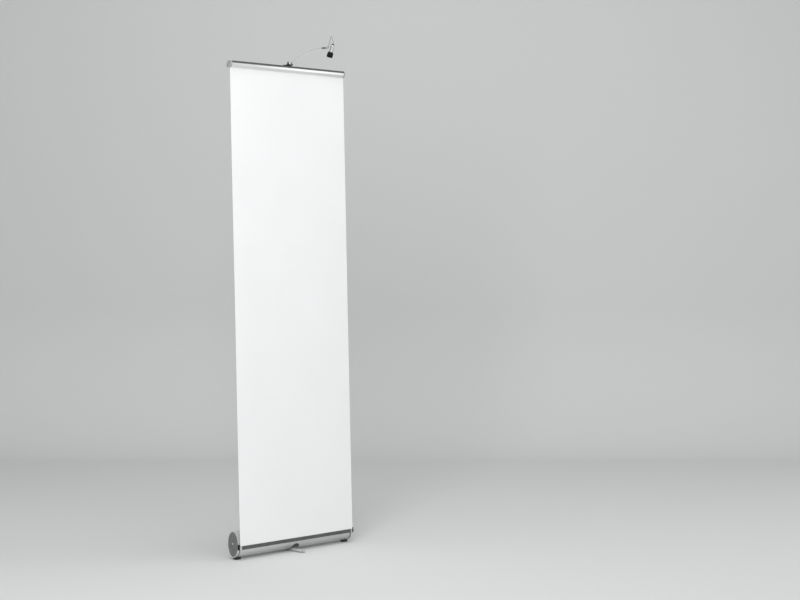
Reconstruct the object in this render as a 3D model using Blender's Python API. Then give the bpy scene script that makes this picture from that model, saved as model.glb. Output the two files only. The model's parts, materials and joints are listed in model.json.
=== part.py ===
"""Roll-up banner stand: cassette, roller, telescopic pole, clamp rail, banner and clip-on lamp.

Metres, +Z up. The origin is on the floor under the middle of the cassette, on the swivel foot's pivot.
The banner faces -Y, +X runs along the cassette, and the pole stands behind it.
"""
import math

import bmesh
import bpy
from mathutils import Matrix, Vector

# ---- driving dimensions ----
BANNER_WIDTH = 0.600
BANNER_RISE = 1.962          # from the slot to the underside of the rail
BANNER_LEAN = 0.0595         # how far the banner leans back over that rise
BANNER_THICKNESS = 0.0005
BANNER_GRIP = 0.012          # how far it reaches up into the rail

DRUM_DEPTH = 0.075
DRUM_HEIGHT = 0.110
DRUM_Y = 0.0075              # centre of the drum behind the foot's pivot
FLOOR_CLEARANCE = 0.0087     # drum's underside above the floor
SHELL_WALL = 0.0016
SHELL_PLAY = 0.0010          # shell longer than the banner, at each end
SLOT_DROP = 0.0030           # lip's top below the drum's centre
SLOT_OPENING = 0.0058
LIP_REACH = 0.0035           # lip's front face ahead of the drum
LIP_HEIGHT = 0.0162
STRIP_THICKNESS = 0.0017
STRIP_END = 0.010            # bare lip at each end of the guide strip
BANNER_OFFSET = 0.0050       # banner's front face ahead of the drum

CAP_THICKNESS = 0.0052
CAP_RIM = 0.0035
CAP_RECESS = 0.0013
CAP_SPIGOT = 0.0055
SPIGOT_WALL = 0.0020
DISC_THICKNESS = 0.0010
DISC_HOLE_RADIUS = 0.0017
DISC_HOLE_DROP = 0.0135
PLUG_THICKNESS = 0.0040
PLUG_DEPTH = 0.0100
PLUG_BEVEL = 0.0006
SCREW_HEAD_RADIUS = 0.0033
SCREW_HEAD_HEIGHT = 0.0020
SCREW_HEAD_EDGE = 0.0010     # straight part of the head, below its dome
SCREW_DOME_RADIUS = 0.0023   # ring on the dome, and its height
SCREW_DOME_HEIGHT = 0.0018
SCREW_RADIUS = 0.0019
SCREW_BITE = 0.012

ROLLER_Y = 0.0090
ROLLER_LIFT = 0.0023         # roller axis above the drum's centre
ROLLER_RADIUS = 0.0160
ROLLER_WALL = 0.0012
ROLLER_END = 0.0010          # roller tube shorter than the banner, at each end
ROLL_THICKNESS = 0.0022      # wraps left on the roller with the banner out
AXLE_RADIUS = 0.0050
BUSH_LENGTH = 0.0120
BUSH_FLANGE = 0.0014
SPRING_WIRE = 0.0007
SPRING_LENGTH = 0.100
SPRING_TURNS = 8
SPRING_POINTS = 10
SPRING_START = 0.120         # spring's inner end, from the roller's left end

SHOE_LENGTH = 0.024
SHOE_FRONT = 0.0115          # ahead of and behind the drum's centre
SHOE_HEIGHT = 0.0165
SHOE_INSET = 0.0025          # shoe's outer end inside the shell's end
SHOE_BEVEL = 0.0010

FOOT_REACH_FRONT = 0.075
FOOT_REACH_REAR = 0.112
FOOT_THICKNESS = 0.0080
FOOT_HUB_RADIUS = 0.0185
FOOT_TIP_RADIUS = 0.0118
FOOT_BEVEL = 0.0012
FOOT_PLUG_RADIUS = 0.0040
PIVOT_RADIUS = 0.0030
PIVOT_HEAD_RADIUS = 0.0062
PIVOT_HEAD_HEIGHT = 0.0024
PIVOT_BITE = 0.0025          # foot's metal left under the pivot screw
WASHER_RADIUS = 0.0120
WASHER_THICKNESS = 0.0010
WINDOW_RADIUS = 0.0220       # half-round window over the foot's hub
WINDOW_CENTRE_Z = 0.0120
WINDOW_REAR = 0.0225         # behind the drum's centre
BRACKET_RECESS = 0.0010

POLE_RADIUS = 0.0110
POLE_WALL = 0.0011
POLE_OVERLAP = 0.080
SOCKET_WALL = 0.0035
SOCKET_BASE_Z = 0.0120
SOCKET_FLOOR = 0.0050
SOCKET_HEIGHT = 0.055
SOCKET_WIDTH = 0.036
SOCKET_BEVEL = 0.0020
COLLAR_RADIUS = 0.0148
COLLAR_SKIRT = 0.022
COLLAR_NECK = 0.018
COLLAR_STRAIGHT = 0.0108     # neck's height before it tapers, and what the taper takes off its radius
COLLAR_TAPER = 0.0030
COLLAR_GROOVES = 8
COLLAR_GROOVE = 0.0008       # groove's radius, and its ends below and above the tube's top
COLLAR_GROOVE_LOW = 0.0176
COLLAR_GROOVE_HIGH = 0.0090

RAIL_HEIGHT = 0.0265
RAIL_WALL = 0.0022
RAIL_BACK = 0.0155           # rail's back face behind the banner's front face
RAIL_END_PLAY = 0.0004       # rail longer than the banner, at each end
JAW_THICKNESS = 0.0022
JAW_OVERHANG = 0.0070        # jaw's top ahead of its bottom
JAW_BEAD_RADIUS = 0.0017
JAW_KNEE = 0.0076            # knee's height above the rail's underside
JAW_LIP = 0.0010             # flat that presses on the banner
JAW_AXIS_AHEAD = 0.0040      # hinge ahead of the banner's front face, and below the rail's top
JAW_AXIS_DROP = 0.0030
RAIL_STRIP_HEIGHT = 0.0080
RAIL_STRIP_THICKNESS = 0.0008
RAIL_CAP_THICKNESS = 0.0018
RAIL_CAP_BEVEL = 0.0007
RAIL_CAP_FOOT = 0.0010       # cap's lower front ahead of the jaw
RAIL_CAP_STEP = 0.0020       # slope above the channel
TONGUE_REACH = 0.0100        # cap's tongue into the rail
TONGUE_DEPTH = 0.0050
CHANNEL_DEPTH = 0.0050
CHANNEL_BOTTOM = 0.0020
CHANNEL_TOP = 0.0165
CHANNEL_MOUTH = 0.0060
CHANNEL_WALL = 0.0016

HOOK_HEAD_WIDTH = 0.020
HOOK_CAP_RADIUS = 0.0108
HOOK_CAP_LENGTH = 0.024
HOOK_CROWN = 0.0030          # solid end above the pole
HOOK_NECK_WIDTH = 0.0120
HOOK_RISER_REACH = 0.0097    # riser's front ahead of the pole's axis
POLE_TOP_DROP = 0.0030       # upper tube's top above the rail's underside

EAR_SPACING = 0.0185
EAR_WIDTH = 0.0070
EAR_TOP_WIDTH = 0.0024
EAR_DEPTH = 0.0070
EAR_HEIGHT = 0.0165          # above the rail's top
EAR_AHEAD = 0.0100           # ears' centre ahead of the banner's top
CLAMP_LIFT = 0.0026          # clamp's nose above the rail's top, clear of the opening jaw
CLAMP_PLATE = 0.0026
CLAMP_WIDTH = 0.0300
CLAMP_LEG = 0.0028
CLAMP_STEP = 0.0010          # clamp's seat behind the rail's front flange
PIVOT_LIFT = 0.0095          # arm's pivot above the rail's top
BOLT_RADIUS = 0.0016
BOLT_HEAD_RADIUS = 0.0030
BOLT_HEAD_HEIGHT = 0.0014
BARREL_RADIUS = 0.0042
KNOB_RADIUS = 0.0070
KNOB_LENGTH = 0.0080
KNOB_BEVEL = 0.0015
KNOB_FLANGE = 0.0013         # round part under the finger dents
KNOB_SCREW_RADIUS = 0.0020
KNOB_DENTS = 6
KNOB_DENT_RADIUS = 0.0016
KNOB_DENT_REACH = 0.0078     # dent's centre from the knob's axis
GLAND_RADIUS = 0.0032
GLAND_LENGTH = 0.0100
GLAND_STEM_RADIUS = 0.0024
GLAND_COLLAR = 0.0040        # straight part, before the taper
GLAND_TIP_RADIUS = 0.0019
GLAND_MOUTH_RADIUS = 0.0010
GLAND_OFFSET = 0.0115        # gland's axis beside the clamp's middle

ARM_RADIUS = 0.0021
ARM_ROUTE = ((-0.0045, 0.0012), (-0.045, 0.0150), (-0.090, 0.0282), (-0.130, 0.0372),
             (-0.170, 0.0425), (-0.205, 0.0442), (-0.232, 0.0435))
KNUCKLE_PLACE = (-0.2530, 0.0420)
SLEEVE_RADIUS = 0.0034
SLEEVE_LENGTH = 0.044
KNUCKLE_RADIUS = 0.0052
KNUCKLE_WIDTH = 0.0076
FORK_THICKNESS = 0.0022
FORK_HEIGHT = 0.0084
FORK_BACK = 0.0030
PIN_RADIUS = 0.0015
PIN_HEAD_RADIUS = 0.0026
PIN_HEAD_HEIGHT = 0.0010
BAND_DROP = 0.0100           # yoke's band below the lamp's top
BAND_HEIGHT = 0.0050
BAND_WALL = 0.0014
LAMP_TILT = math.radians(25.0)
LAMP_TOP = (-0.0330, 0.0090)  # body's top end, from the knuckle
LAMP_RADIUS = 0.0086
LAMP_LENGTH = 0.0295
LAMP_EDGE = 0.0010
LAMP_CAP_RADIUS = 0.0050
LAMP_CAP_HEIGHT = 0.0048
LAMP_CAP_EDGE = 0.0024       # straight part, before the cone
LAMP_CAP_TOP_RADIUS = 0.0018
SPIGOT_RADIUS = 0.0036
SHADE_RADIUS = 0.0124
SHADE_NECK_RADIUS = 0.0062
SHADE_LENGTH = 0.0225
SHADE_DOME = 0.0135          # height of the rounded part
SHADE_WALL = 0.0009
SHADE_TOP = 0.0012
SHADE_STEPS = 5
LED_RADIUS = 0.0060
LED_THICKNESS = 0.0025
LENS_INSET = 0.0022
LENS_THICKNESS = 0.0014
LEAD_RADIUS = 0.0009
LEAD_APEX = (-0.0200, 0.0440)
LEAD_BEND = 0.0035
LEAD_RISE = 0.0045           # straight out of the cap and the yoke
LEAD_BOW = 0.0020            # bow of each side of the loop

# ---- clearances ----
GAP = 0.0003                 # between pieces that touch
SLACK = 0.0006               # past a face that a cut goes through

OVAL_STEPS = 44
ROUND_STEPS = 24
SMALL_STEPS = 16

# ---- derived places ----
DRUM_Z = FLOOR_CLEARANCE + DRUM_HEIGHT / 2
HALF_DEPTH = DRUM_DEPTH / 2
HALF_HEIGHT = DRUM_HEIGHT / 2
SHELL_HALF = BANNER_WIDTH / 2 + SHELL_PLAY
LIP_TOP = -SLOT_DROP
SLOT_TOP = LIP_TOP + SLOT_OPENING
SLOT_Z = DRUM_Z + LIP_TOP
BANNER_Y = DRUM_Y - HALF_DEPTH - BANNER_OFFSET
BANNER_BOTTOM = SLOT_Z + GAP
ROLLER_Z = DRUM_Z + ROLLER_LIFT
RAIL_Z = BANNER_BOTTOM + BANNER_RISE
RAIL_TOP = RAIL_Z + RAIL_HEIGHT
RAIL_Y = BANNER_Y + BANNER_LEAN
RAIL_HALF = BANNER_WIDTH / 2 + RAIL_END_PLAY
POLE_Y = max(DRUM_Y + HALF_DEPTH + GAP + SOCKET_WALL + GAP + POLE_RADIUS,
             RAIL_Y + RAIL_BACK + CHANNEL_DEPTH + GAP + HOOK_CAP_RADIUS)
POLE_BOTTOM = SOCKET_BASE_Z + SOCKET_FLOOR + GAP
POLE_TOP = RAIL_Z + POLE_TOP_DROP
SECTION_LENGTH = (POLE_TOP - POLE_BOTTOM + 2 * POLE_OVERLAP) / 3
MIDDLE_RADIUS = POLE_RADIUS - POLE_WALL - GAP
UPPER_RADIUS = MIDDLE_RADIUS - POLE_WALL - GAP
MIDDLE_BOTTOM = POLE_BOTTOM + SECTION_LENGTH - POLE_OVERLAP
UPPER_BOTTOM = MIDDLE_BOTTOM + SECTION_LENGTH - POLE_OVERLAP
PIVOT_Y = RAIL_Y - EAR_AHEAD
PIVOT_Z = RAIL_TOP + PIVOT_LIFT
JAW_AXIS_Y = RAIL_Y - JAW_AXIS_AHEAD
JAW_AXIS_Z = RAIL_TOP - JAW_AXIS_DROP


# ---- materials ----
def finish(name, colour, roughness, metallic):
    """Return a Principled material."""
    material = bpy.data.materials.new(name)
    material.use_nodes = True
    shader = material.node_tree.nodes["Principled BSDF"]
    shader.inputs["Base Color"].default_value = (*colour, 1.0)
    shader.inputs["Roughness"].default_value = roughness
    shader.inputs["Metallic"].default_value = metallic
    return material


# ---- mesh helpers ----
def axis_empty(name, place, parent=None):
    """Return an empty whose origin is a joint's axis or a sub-assembly's place."""
    empty = bpy.data.objects.new(name, None)
    empty.empty_display_size = 0.03
    return attach(empty, place, parent)


def attach(item, place, parent=None):
    """Link an object, and put it at a place in its parent's space."""
    bpy.context.collection.objects.link(item)
    item.parent = parent
    item.location = place
    return item


def add_piece(name, bm, material, place=(0.0, 0.0, 0.0), parent=None, smooth=True):
    """Turn a bmesh into a named object with one material."""
    bmesh.ops.recalc_face_normals(bm, faces=bm.faces)
    mesh = bpy.data.meshes.new(name)
    bm.to_mesh(mesh)
    bm.free()
    mesh.materials.append(material)
    if smooth:
        mesh.shade_smooth()
        mesh.set_sharp_from_angle(angle=math.radians(32.0))
    return attach(bpy.data.objects.new(name, mesh), place, parent)


def add_curve(name, points, radius, material, parent, sides=3):
    """Return a round bar along a list of points, with filled ends."""
    curve = bpy.data.curves.new(name, "CURVE")
    curve.dimensions = "3D"
    curve.bevel_depth = radius
    curve.bevel_resolution = sides
    curve.use_fill_caps = True
    spline = curve.splines.new("POLY")
    spline.points.add(len(points) - 1)
    for target, point in zip(spline.points, points):
        target.co = (*point, 1.0)
    curve.materials.append(material)
    return attach(bpy.data.objects.new(name, curve), (0.0, 0.0, 0.0), parent)


def prism(outline, low, high, axis="X"):
    """Return a bmesh: an outline in the two other axes, extruded along one axis.

    The outline is (y, z) for X, (x, z) for Y and (x, y) for Z.
    """
    order = {"X": (2, 0, 1), "Y": (0, 2, 1), "Z": (0, 1, 2)}[axis]
    bm = bmesh.new()
    verts = []
    for point in outline:
        flat = (point[0], point[1], low)
        verts.append(bm.verts.new([flat[i] for i in order]))
    face = bm.faces.new(verts)
    side = bmesh.ops.extrude_face_region(bm, geom=[face])
    moved = [item for item in side["geom"] if isinstance(item, bmesh.types.BMVert)]
    shift = Vector([(0.0, 0.0, high - low)[i] for i in order])
    bmesh.ops.translate(bm, verts=moved, vec=shift)
    return bm


def turned(profile, axis="Z", steps=ROUND_STEPS):
    """Return a bmesh: a closed (radius, height) profile turned about an axis.

    The first and last points may lie on the axis, and the profile closes through it.
    """
    bm = bmesh.new()
    rings = []
    for radius, height in profile:
        if radius <= 0.0:
            rings.append([bm.verts.new((0.0, 0.0, height))])
            continue
        ring = []
        for step in range(steps):
            angle = 2.0 * math.pi * step / steps
            ring.append(bm.verts.new((radius * math.cos(angle), radius * math.sin(angle), height)))
        rings.append(ring)
    pairs = list(zip(rings, rings[1:]))
    if len(rings[0]) > 1:
        pairs.append((rings[-1], rings[0]))
    for lower, upper in pairs:
        for step in range(steps):
            after = (step + 1) % steps
            corners = [lower[step % len(lower)], lower[after % len(lower)],
                       upper[after % len(upper)], upper[step % len(upper)]]
            unique = list(dict.fromkeys(corners))
            if len(unique) > 2:
                bm.faces.new(unique)
    quarter = math.pi / 2
    turn = {"Z": Matrix(), "X": Matrix.Rotation(quarter, 4, "Y"), "Y": Matrix.Rotation(-quarter, 4, "X")}
    bmesh.ops.transform(bm, matrix=turn[axis], verts=bm.verts)
    return bm


def rod(radius, low, high, axis="Z", steps=ROUND_STEPS):
    """Return a bmesh cylinder along an axis."""
    return turned([(0.0, low), (radius, low), (radius, high), (0.0, high)], axis, steps)


def ring(inner, outer, low, high, axis="Z", steps=ROUND_STEPS):
    """Return a bmesh tube along an axis."""
    return turned([(inner, low), (outer, low), (outer, high), (inner, high)], axis, steps)


def block(low, high):
    """Return a bmesh box between two corners."""
    outline = [(low[0], low[1]), (high[0], low[1]), (high[0], high[1]), (low[0], high[1])]
    return prism(outline, low[2], high[2], "Z")


def arc(centre, radius, start, end, steps):
    """Return points on an arc, angles in degrees, both ends included."""
    points = []
    for step in range(steps + 1):
        angle = math.radians(start + (end - start) * step / steps)
        points.append((centre[0] + radius * math.cos(angle), centre[1] + radius * math.sin(angle)))
    return points


def oval(half_depth, half_height, start=0.0, end=None, steps=OVAL_STEPS):
    """Return (y, z) points on the drum's oval; angles in radians from the front, over the top."""
    closed = end is None
    span = 2.0 * math.pi if closed else end - start
    count = steps if closed else steps + 1
    points = []
    for step in range(count):
        angle = start + span * step / steps
        points.append((-half_depth * math.cos(angle), half_height * math.sin(angle)))
    return points


def carve(target, cutter, operation="DIFFERENCE"):
    """Cut, join or trim a piece with a helper shape that is not itself a piece."""
    cutter.hide_render = True
    cutter.display_type = "WIRE"
    modifier = target.modifiers.new(cutter.name, "BOOLEAN")
    modifier.operation = operation
    modifier.solver = "EXACT"
    modifier.object = cutter


def cut(target, name, bm, place=(0.0, 0.0, 0.0), operation="DIFFERENCE"):
    """Carve a piece with a shape given in the piece's own space."""
    cutter = add_piece("cut_" + name, bm, target.active_material, place, target, smooth=False)
    carve(target, cutter, operation)


def soften(target, width, segments=2):
    """Round a piece's sharp edges."""
    modifier = target.modifiers.new("edges", "BEVEL")
    modifier.width = width
    modifier.segments = segments
    modifier.limit_method = "ANGLE"
    modifier.angle_limit = math.radians(40.0)


# ---- cassette ----
def shell_outline():
    """Return the shell's (y, z) section: an oval tube, open at the slot, with a lip under it."""
    inner_depth = HALF_DEPTH - SHELL_WALL
    inner_height = HALF_HEIGHT - SHELL_WALL
    lip_bottom = LIP_TOP - LIP_HEIGHT
    outer = oval(HALF_DEPTH, HALF_HEIGHT, math.asin(SLOT_TOP / HALF_HEIGHT),
                 2.0 * math.pi + math.asin(lip_bottom / HALF_HEIGHT))
    inner = oval(inner_depth, inner_height, 2.0 * math.pi + math.asin(LIP_TOP / inner_height),
                 math.asin(SLOT_TOP / inner_height))
    front = -HALF_DEPTH - LIP_REACH
    return outer + [(front, lip_bottom), (front, LIP_TOP)] + inner


def window_outline(radius, bottom):
    """Return the half-round (x, z) outline of the window over the foot's hub, from the drum's centre."""
    centre = (0.0, WINDOW_CENTRE_Z - DRUM_Z)
    return [(radius, bottom)] + arc(centre, radius, 0.0, 180.0, 16) + [(-radius, bottom)]


def build_shell(drum, silver, black):
    """Build the cassette's shell, its guide strip and the foot's bracket."""
    shell = add_piece("cassette_shell", prism(shell_outline(), -SHELL_HALF, SHELL_HALF), silver, parent=drum)
    window = window_outline(WINDOW_RADIUS, -HALF_HEIGHT - SLACK)
    cut(shell, "foot_window", prism(window, -HALF_DEPTH - SLACK, WINDOW_REAR, "Y"))

    strip_half = BANNER_WIDTH / 2 - STRIP_END
    strip_back = -HALF_DEPTH - LIP_REACH - GAP
    strip_top = LIP_TOP - 2 * GAP
    strip_bottom = LIP_TOP - LIP_HEIGHT + 2 * GAP
    strip = block((-strip_half, strip_back - STRIP_THICKNESS, strip_bottom),
                  (strip_half, strip_back, strip_top))
    add_piece("slot_guide_strip", strip, black, parent=drum, smooth=False)

    hub = window_outline(WINDOW_RADIUS - GAP, -HALF_HEIGHT - SLACK)
    hub_solid = prism(hub, -HALF_DEPTH - SLACK, WINDOW_REAR - GAP, "Y")
    bracket = add_piece("foot_bracket", hub_solid, black, parent=drum)
    trim = oval(HALF_DEPTH - BRACKET_RECESS, HALF_HEIGHT - BRACKET_RECESS)
    cut(bracket, "drum_trim", prism(trim, -WINDOW_RADIUS, WINDOW_RADIUS), operation="INTERSECT")
    bore = rod(PIVOT_RADIUS + GAP, -HALF_HEIGHT - SLACK, 0.0, steps=SMALL_STEPS)
    cut(bracket, "pivot_bore", bore, (0.0, -DRUM_Y, 0.0))


def build_end(side, name, drum, silver, grey, black, steel):
    """Build one end of the cassette: its cap, its face disc, its screw and the lip's plug."""
    end = axis_empty("end_" + name, (side * (SHELL_HALF + GAP), 0.0, 0.0), drum)
    if side < 0:
        end.rotation_euler = (0.0, 0.0, math.pi)

    def turned_y(value):
        """Return a depth in the end's own space, which is turned round at the left end."""
        return side * value

    def section(points):
        """Return an outline in the end's own space."""
        return [(turned_y(y), z) for y, z in points]

    cap = add_piece("end_cap_" + name, prism(section(oval(HALF_DEPTH, HALF_HEIGHT)), 0.0, CAP_THICKNESS),
                    silver, parent=end)
    spigot_depth = HALF_DEPTH - SHELL_WALL - GAP
    spigot_height = HALF_HEIGHT - SHELL_WALL - GAP
    spigot = prism(section(oval(spigot_depth, spigot_height)), -CAP_SPIGOT, SLACK)
    cut(cap, "spigot_" + name, spigot, operation="UNION")
    hollow = prism(section(oval(spigot_depth - SPIGOT_WALL, spigot_height - SPIGOT_WALL)),
                   -CAP_SPIGOT - SLACK, 0.0)
    cut(cap, "hollow_" + name, hollow)
    outside = CAP_THICKNESS + SLACK
    recess_depth = HALF_DEPTH - CAP_RIM
    recess_height = HALF_HEIGHT - CAP_RIM
    recess = prism(section(oval(recess_depth, recess_height)), CAP_THICKNESS - CAP_RECESS, outside)
    cut(cap, "recess_" + name, recess)
    plug_low = LIP_TOP - LIP_HEIGHT
    plug_high = SLOT_TOP + SLACK
    notch_back = -HALF_DEPTH + PLUG_DEPTH - LIP_REACH
    notch_y = sorted((turned_y(-HALF_DEPTH - SLACK), turned_y(notch_back + GAP)))
    notch = block((-CAP_SPIGOT - SLACK, notch_y[0], plug_low - GAP), (outside, notch_y[1], plug_high + GAP))
    cut(cap, "notch_" + name, notch)
    axle_place = (0.0, turned_y(ROLLER_Y - DRUM_Y), ROLLER_LIFT)
    cut(cap, "screw_way_" + name,
        rod(SCREW_RADIUS + GAP, -SLACK, outside, "X", SMALL_STEPS), axle_place)

    disc = section(oval(recess_depth - GAP, recess_height - GAP))
    disc_low = CAP_THICKNESS - CAP_RECESS + GAP
    face = add_piece("end_disc_" + name, prism(disc, disc_low, disc_low + DISC_THICKNESS), grey, parent=end)
    cut(face, "disc_screw_way_" + name,
        rod(SCREW_RADIUS + GAP, 0.0, outside, "X", SMALL_STEPS), axle_place)
    cut(face, "disc_hole_" + name,
        rod(DISC_HOLE_RADIUS, 0.0, outside, "X", SMALL_STEPS),
        (0.0, axle_place[1], ROLLER_LIFT - DISC_HOLE_DROP))
    cut(face, "disc_notch_" + name,
        block((0.0, notch_y[0], plug_low - GAP), (outside, notch_y[1], plug_high + GAP)))

    seat = disc_low + DISC_THICKNESS + GAP
    profile = [(0.0, -SCREW_BITE), (SCREW_RADIUS, -SCREW_BITE), (SCREW_RADIUS, seat),
               (SCREW_HEAD_RADIUS, seat), (SCREW_HEAD_RADIUS, seat + SCREW_HEAD_EDGE),
               (SCREW_DOME_RADIUS, seat + SCREW_DOME_HEIGHT), (0.0, seat + SCREW_HEAD_HEIGHT)]
    add_piece("end_screw_" + name, turned(profile, "X", SMALL_STEPS), steel, axle_place, end)

    plug_y = sorted((turned_y(-HALF_DEPTH - LIP_REACH - GAP - STRIP_THICKNESS), turned_y(notch_back)))
    plug = block((GAP, plug_y[0], plug_low), (PLUG_THICKNESS, plug_y[1], plug_high))
    piece = add_piece("lip_plug_" + name, plug, black, parent=end, smooth=False)
    soften(piece, PLUG_BEVEL, 1)


def build_shoe(side, name, drum, black):
    """Build one black shoe that cradles the drum's underside and stands on the floor."""
    outer = SHELL_HALF - SHOE_INSET
    ends = sorted((side * outer, side * (outer - SHOE_LENGTH)))
    floor = -DRUM_Z
    low = (ends[0], -SHOE_FRONT, floor)
    high = (ends[1], SHOE_FRONT, floor + SHOE_HEIGHT)
    shoe = add_piece("foot_shoe_" + name, block(low, high), black, parent=drum, smooth=False)
    soften(shoe, SHOE_BEVEL, 1)
    cradle = prism(oval(HALF_DEPTH + GAP, HALF_HEIGHT + GAP), ends[0] - SLACK, ends[1] + SLACK)
    cut(shoe, "cradle_" + name, cradle)


# ---- roller ----
def build_roller(silver, white, black, steel):
    """Build the fixed axle and its spring, and the roller that turns on it."""
    place = (0.0, ROLLER_Y, ROLLER_Z)
    fixed = axis_empty("axle_place", place)
    turning = axis_empty("roller_axis", place)

    axle_half = SHELL_HALF
    axle = add_piece("roller_axle", rod(AXLE_RADIUS, -axle_half, axle_half, "X", 24), steel, parent=fixed)
    for side, name in ((-1, "left"), (1, "right")):
        bite = sorted((side * (axle_half + SLACK), side * (axle_half - SCREW_BITE - GAP)))
        cut(axle, "axle_thread_" + name, rod(SCREW_RADIUS + GAP, bite[0], bite[1], "X", SMALL_STEPS))

    coil_radius = AXLE_RADIUS + GAP + SPRING_WIRE
    spring_left = -BANNER_WIDTH / 2 + SPRING_START
    count = SPRING_TURNS * SPRING_POINTS
    coil = []
    for step in range(count + 1):
        angle = 2.0 * math.pi * step / SPRING_POINTS
        along = spring_left + SPRING_LENGTH * step / count
        coil.append((along, coil_radius * math.cos(angle), coil_radius * math.sin(angle)))
    add_curve("torsion_spring", coil, SPRING_WIRE, steel, fixed, sides=0)

    tube_half = BANNER_WIDTH / 2 - ROLLER_END
    tube_inner = ROLLER_RADIUS - ROLLER_WALL
    tube = ring(tube_inner, ROLLER_RADIUS, -tube_half, tube_half, "X")
    add_piece("roller_tube", tube, silver, parent=turning)
    roll_inner = ROLLER_RADIUS + GAP
    roll = ring(roll_inner, roll_inner + ROLL_THICKNESS, -BANNER_WIDTH / 2, BANNER_WIDTH / 2, "X")
    add_piece("banner_roll", roll, white, parent=turning)
    for side, name in ((-1, "left"), (1, "right")):
        inner = AXLE_RADIUS + GAP
        outer = tube_inner - GAP
        flange = ROLLER_RADIUS - GAP
        start = tube_half - BUSH_LENGTH
        end = tube_half + GAP
        profile = [(inner, side * start), (outer, side * start), (outer, side * end), (flange, side * end),
                   (flange, side * (end + BUSH_FLANGE)), (inner, side * (end + BUSH_FLANGE))]
        add_piece("roller_bush_" + name, turned(profile, "X", 24), black, parent=turning)


def build_leader(drum, white):
    """Build the leader: the strip that runs from the roll to the slot."""
    roll_radius = ROLLER_RADIUS + GAP + ROLL_THICKNESS + GAP
    centre = Vector((ROLLER_Y - DRUM_Y, ROLLER_LIFT))
    mouth = Vector((-HALF_DEPTH, (LIP_TOP + SLOT_TOP) / 2))
    reach = centre - mouth
    swing = math.asin((roll_radius + BANNER_THICKNESS) / reach.length)
    heading = math.atan2(reach.y, reach.x) - swing
    run = math.sqrt(reach.length ** 2 - (roll_radius + BANNER_THICKNESS) ** 2)
    along = Vector((math.cos(heading), math.sin(heading)))
    across = Vector((-along.y, along.x)) * BANNER_THICKNESS
    tangent = mouth + along * run
    lip = Vector((-HALF_DEPTH - BANNER_OFFSET + BANNER_THICKNESS + GAP, mouth.y))
    rise = Vector((0.0, BANNER_THICKNESS))
    outline = [tangent, tangent + across, mouth + rise, lip + rise, lip, mouth]
    half = BANNER_WIDTH / 2
    add_piece("banner_leader", prism([tuple(point) for point in outline], -half, half), white, parent=drum)


# ---- swivel foot ----
def foot_outline():
    """Return the swivel foot's (x, y) outline: a bar that tapers from its hub to two round tips."""
    front = (0.0, -FOOT_REACH_FRONT + FOOT_TIP_RADIUS)
    rear = (0.0, FOOT_REACH_REAR - FOOT_TIP_RADIUS)
    hub = (0.0, 0.0)
    return (arc(front, FOOT_TIP_RADIUS, 185.0, 355.0, 14) + arc(hub, FOOT_HUB_RADIUS, -12.0, 12.0, 4)
            + arc(rear, FOOT_TIP_RADIUS, 5.0, 175.0, 14) + arc(hub, FOOT_HUB_RADIUS, 168.0, 192.0, 4))


def build_foot(silver, black, steel, white):
    """Build the swivel foot, its rubber plugs, and the pivot screw and washer that hold it."""
    swing = axis_empty("foot_axis", (0.0, 0.0, 0.0))
    foot = add_piece("swivel_foot", prism(foot_outline(), 0.0, FOOT_THICKNESS, "Z"), silver, parent=swing)
    soften(foot, FOOT_BEVEL, 1)
    cut(foot, "pivot_way", rod(PIVOT_RADIUS + GAP, PIVOT_BITE, FOOT_THICKNESS + SLACK, steps=SMALL_STEPS))
    places = {"front": -FOOT_REACH_FRONT + FOOT_TIP_RADIUS, "rear": FOOT_REACH_REAR - FOOT_TIP_RADIUS}
    for name, depth in places.items():
        way = rod(FOOT_PLUG_RADIUS + GAP, -SLACK, FOOT_THICKNESS + SLACK, steps=SMALL_STEPS)
        cut(foot, "plug_way_" + name, way, (0.0, depth, 0.0))
        plug = rod(FOOT_PLUG_RADIUS, 0.0, FOOT_THICKNESS + GAP, steps=SMALL_STEPS)
        add_piece("foot_plug_" + name, plug, black, (0.0, depth, 0.0), swing)

    seat = WINDOW_CENTRE_Z + WINDOW_RADIUS
    low = PIVOT_BITE + GAP
    profile = [(0.0, low), (PIVOT_RADIUS, low), (PIVOT_RADIUS, seat), (PIVOT_HEAD_RADIUS, seat),
               (PIVOT_HEAD_RADIUS, seat + PIVOT_HEAD_HEIGHT), (0.0, seat + PIVOT_HEAD_HEIGHT)]
    add_piece("foot_pivot_screw", turned(profile, steps=SMALL_STEPS), steel, parent=swing)
    washer_low = FOOT_THICKNESS + GAP
    washer = ring(PIVOT_RADIUS + GAP, WASHER_RADIUS, washer_low, washer_low + WASHER_THICKNESS, steps=24)
    add_piece("foot_washer", washer, white)


# ---- pole ----
def build_socket(drum, black):
    """Build the socket on the drum's back that the pole stands in."""
    half = SOCKET_WIDTH / 2
    back = POLE_Y - DRUM_Y + POLE_RADIUS + GAP + SOCKET_WALL
    base = SOCKET_BASE_Z - DRUM_Z
    body = block((-half, 0.0, base), (half, back, base + SOCKET_HEIGHT))
    socket = add_piece("pole_socket", body, black, parent=drum)
    soften(socket, SOCKET_BEVEL, 2)
    cut(socket, "socket_drum", prism(oval(HALF_DEPTH + GAP, HALF_HEIGHT + GAP), -half - SLACK, half + SLACK))
    bore = rod(POLE_RADIUS + GAP, base + SOCKET_FLOOR, base + SOCKET_HEIGHT + SLACK)
    cut(socket, "socket_bore", bore, (0.0, POLE_Y - DRUM_Y, 0.0))


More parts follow.
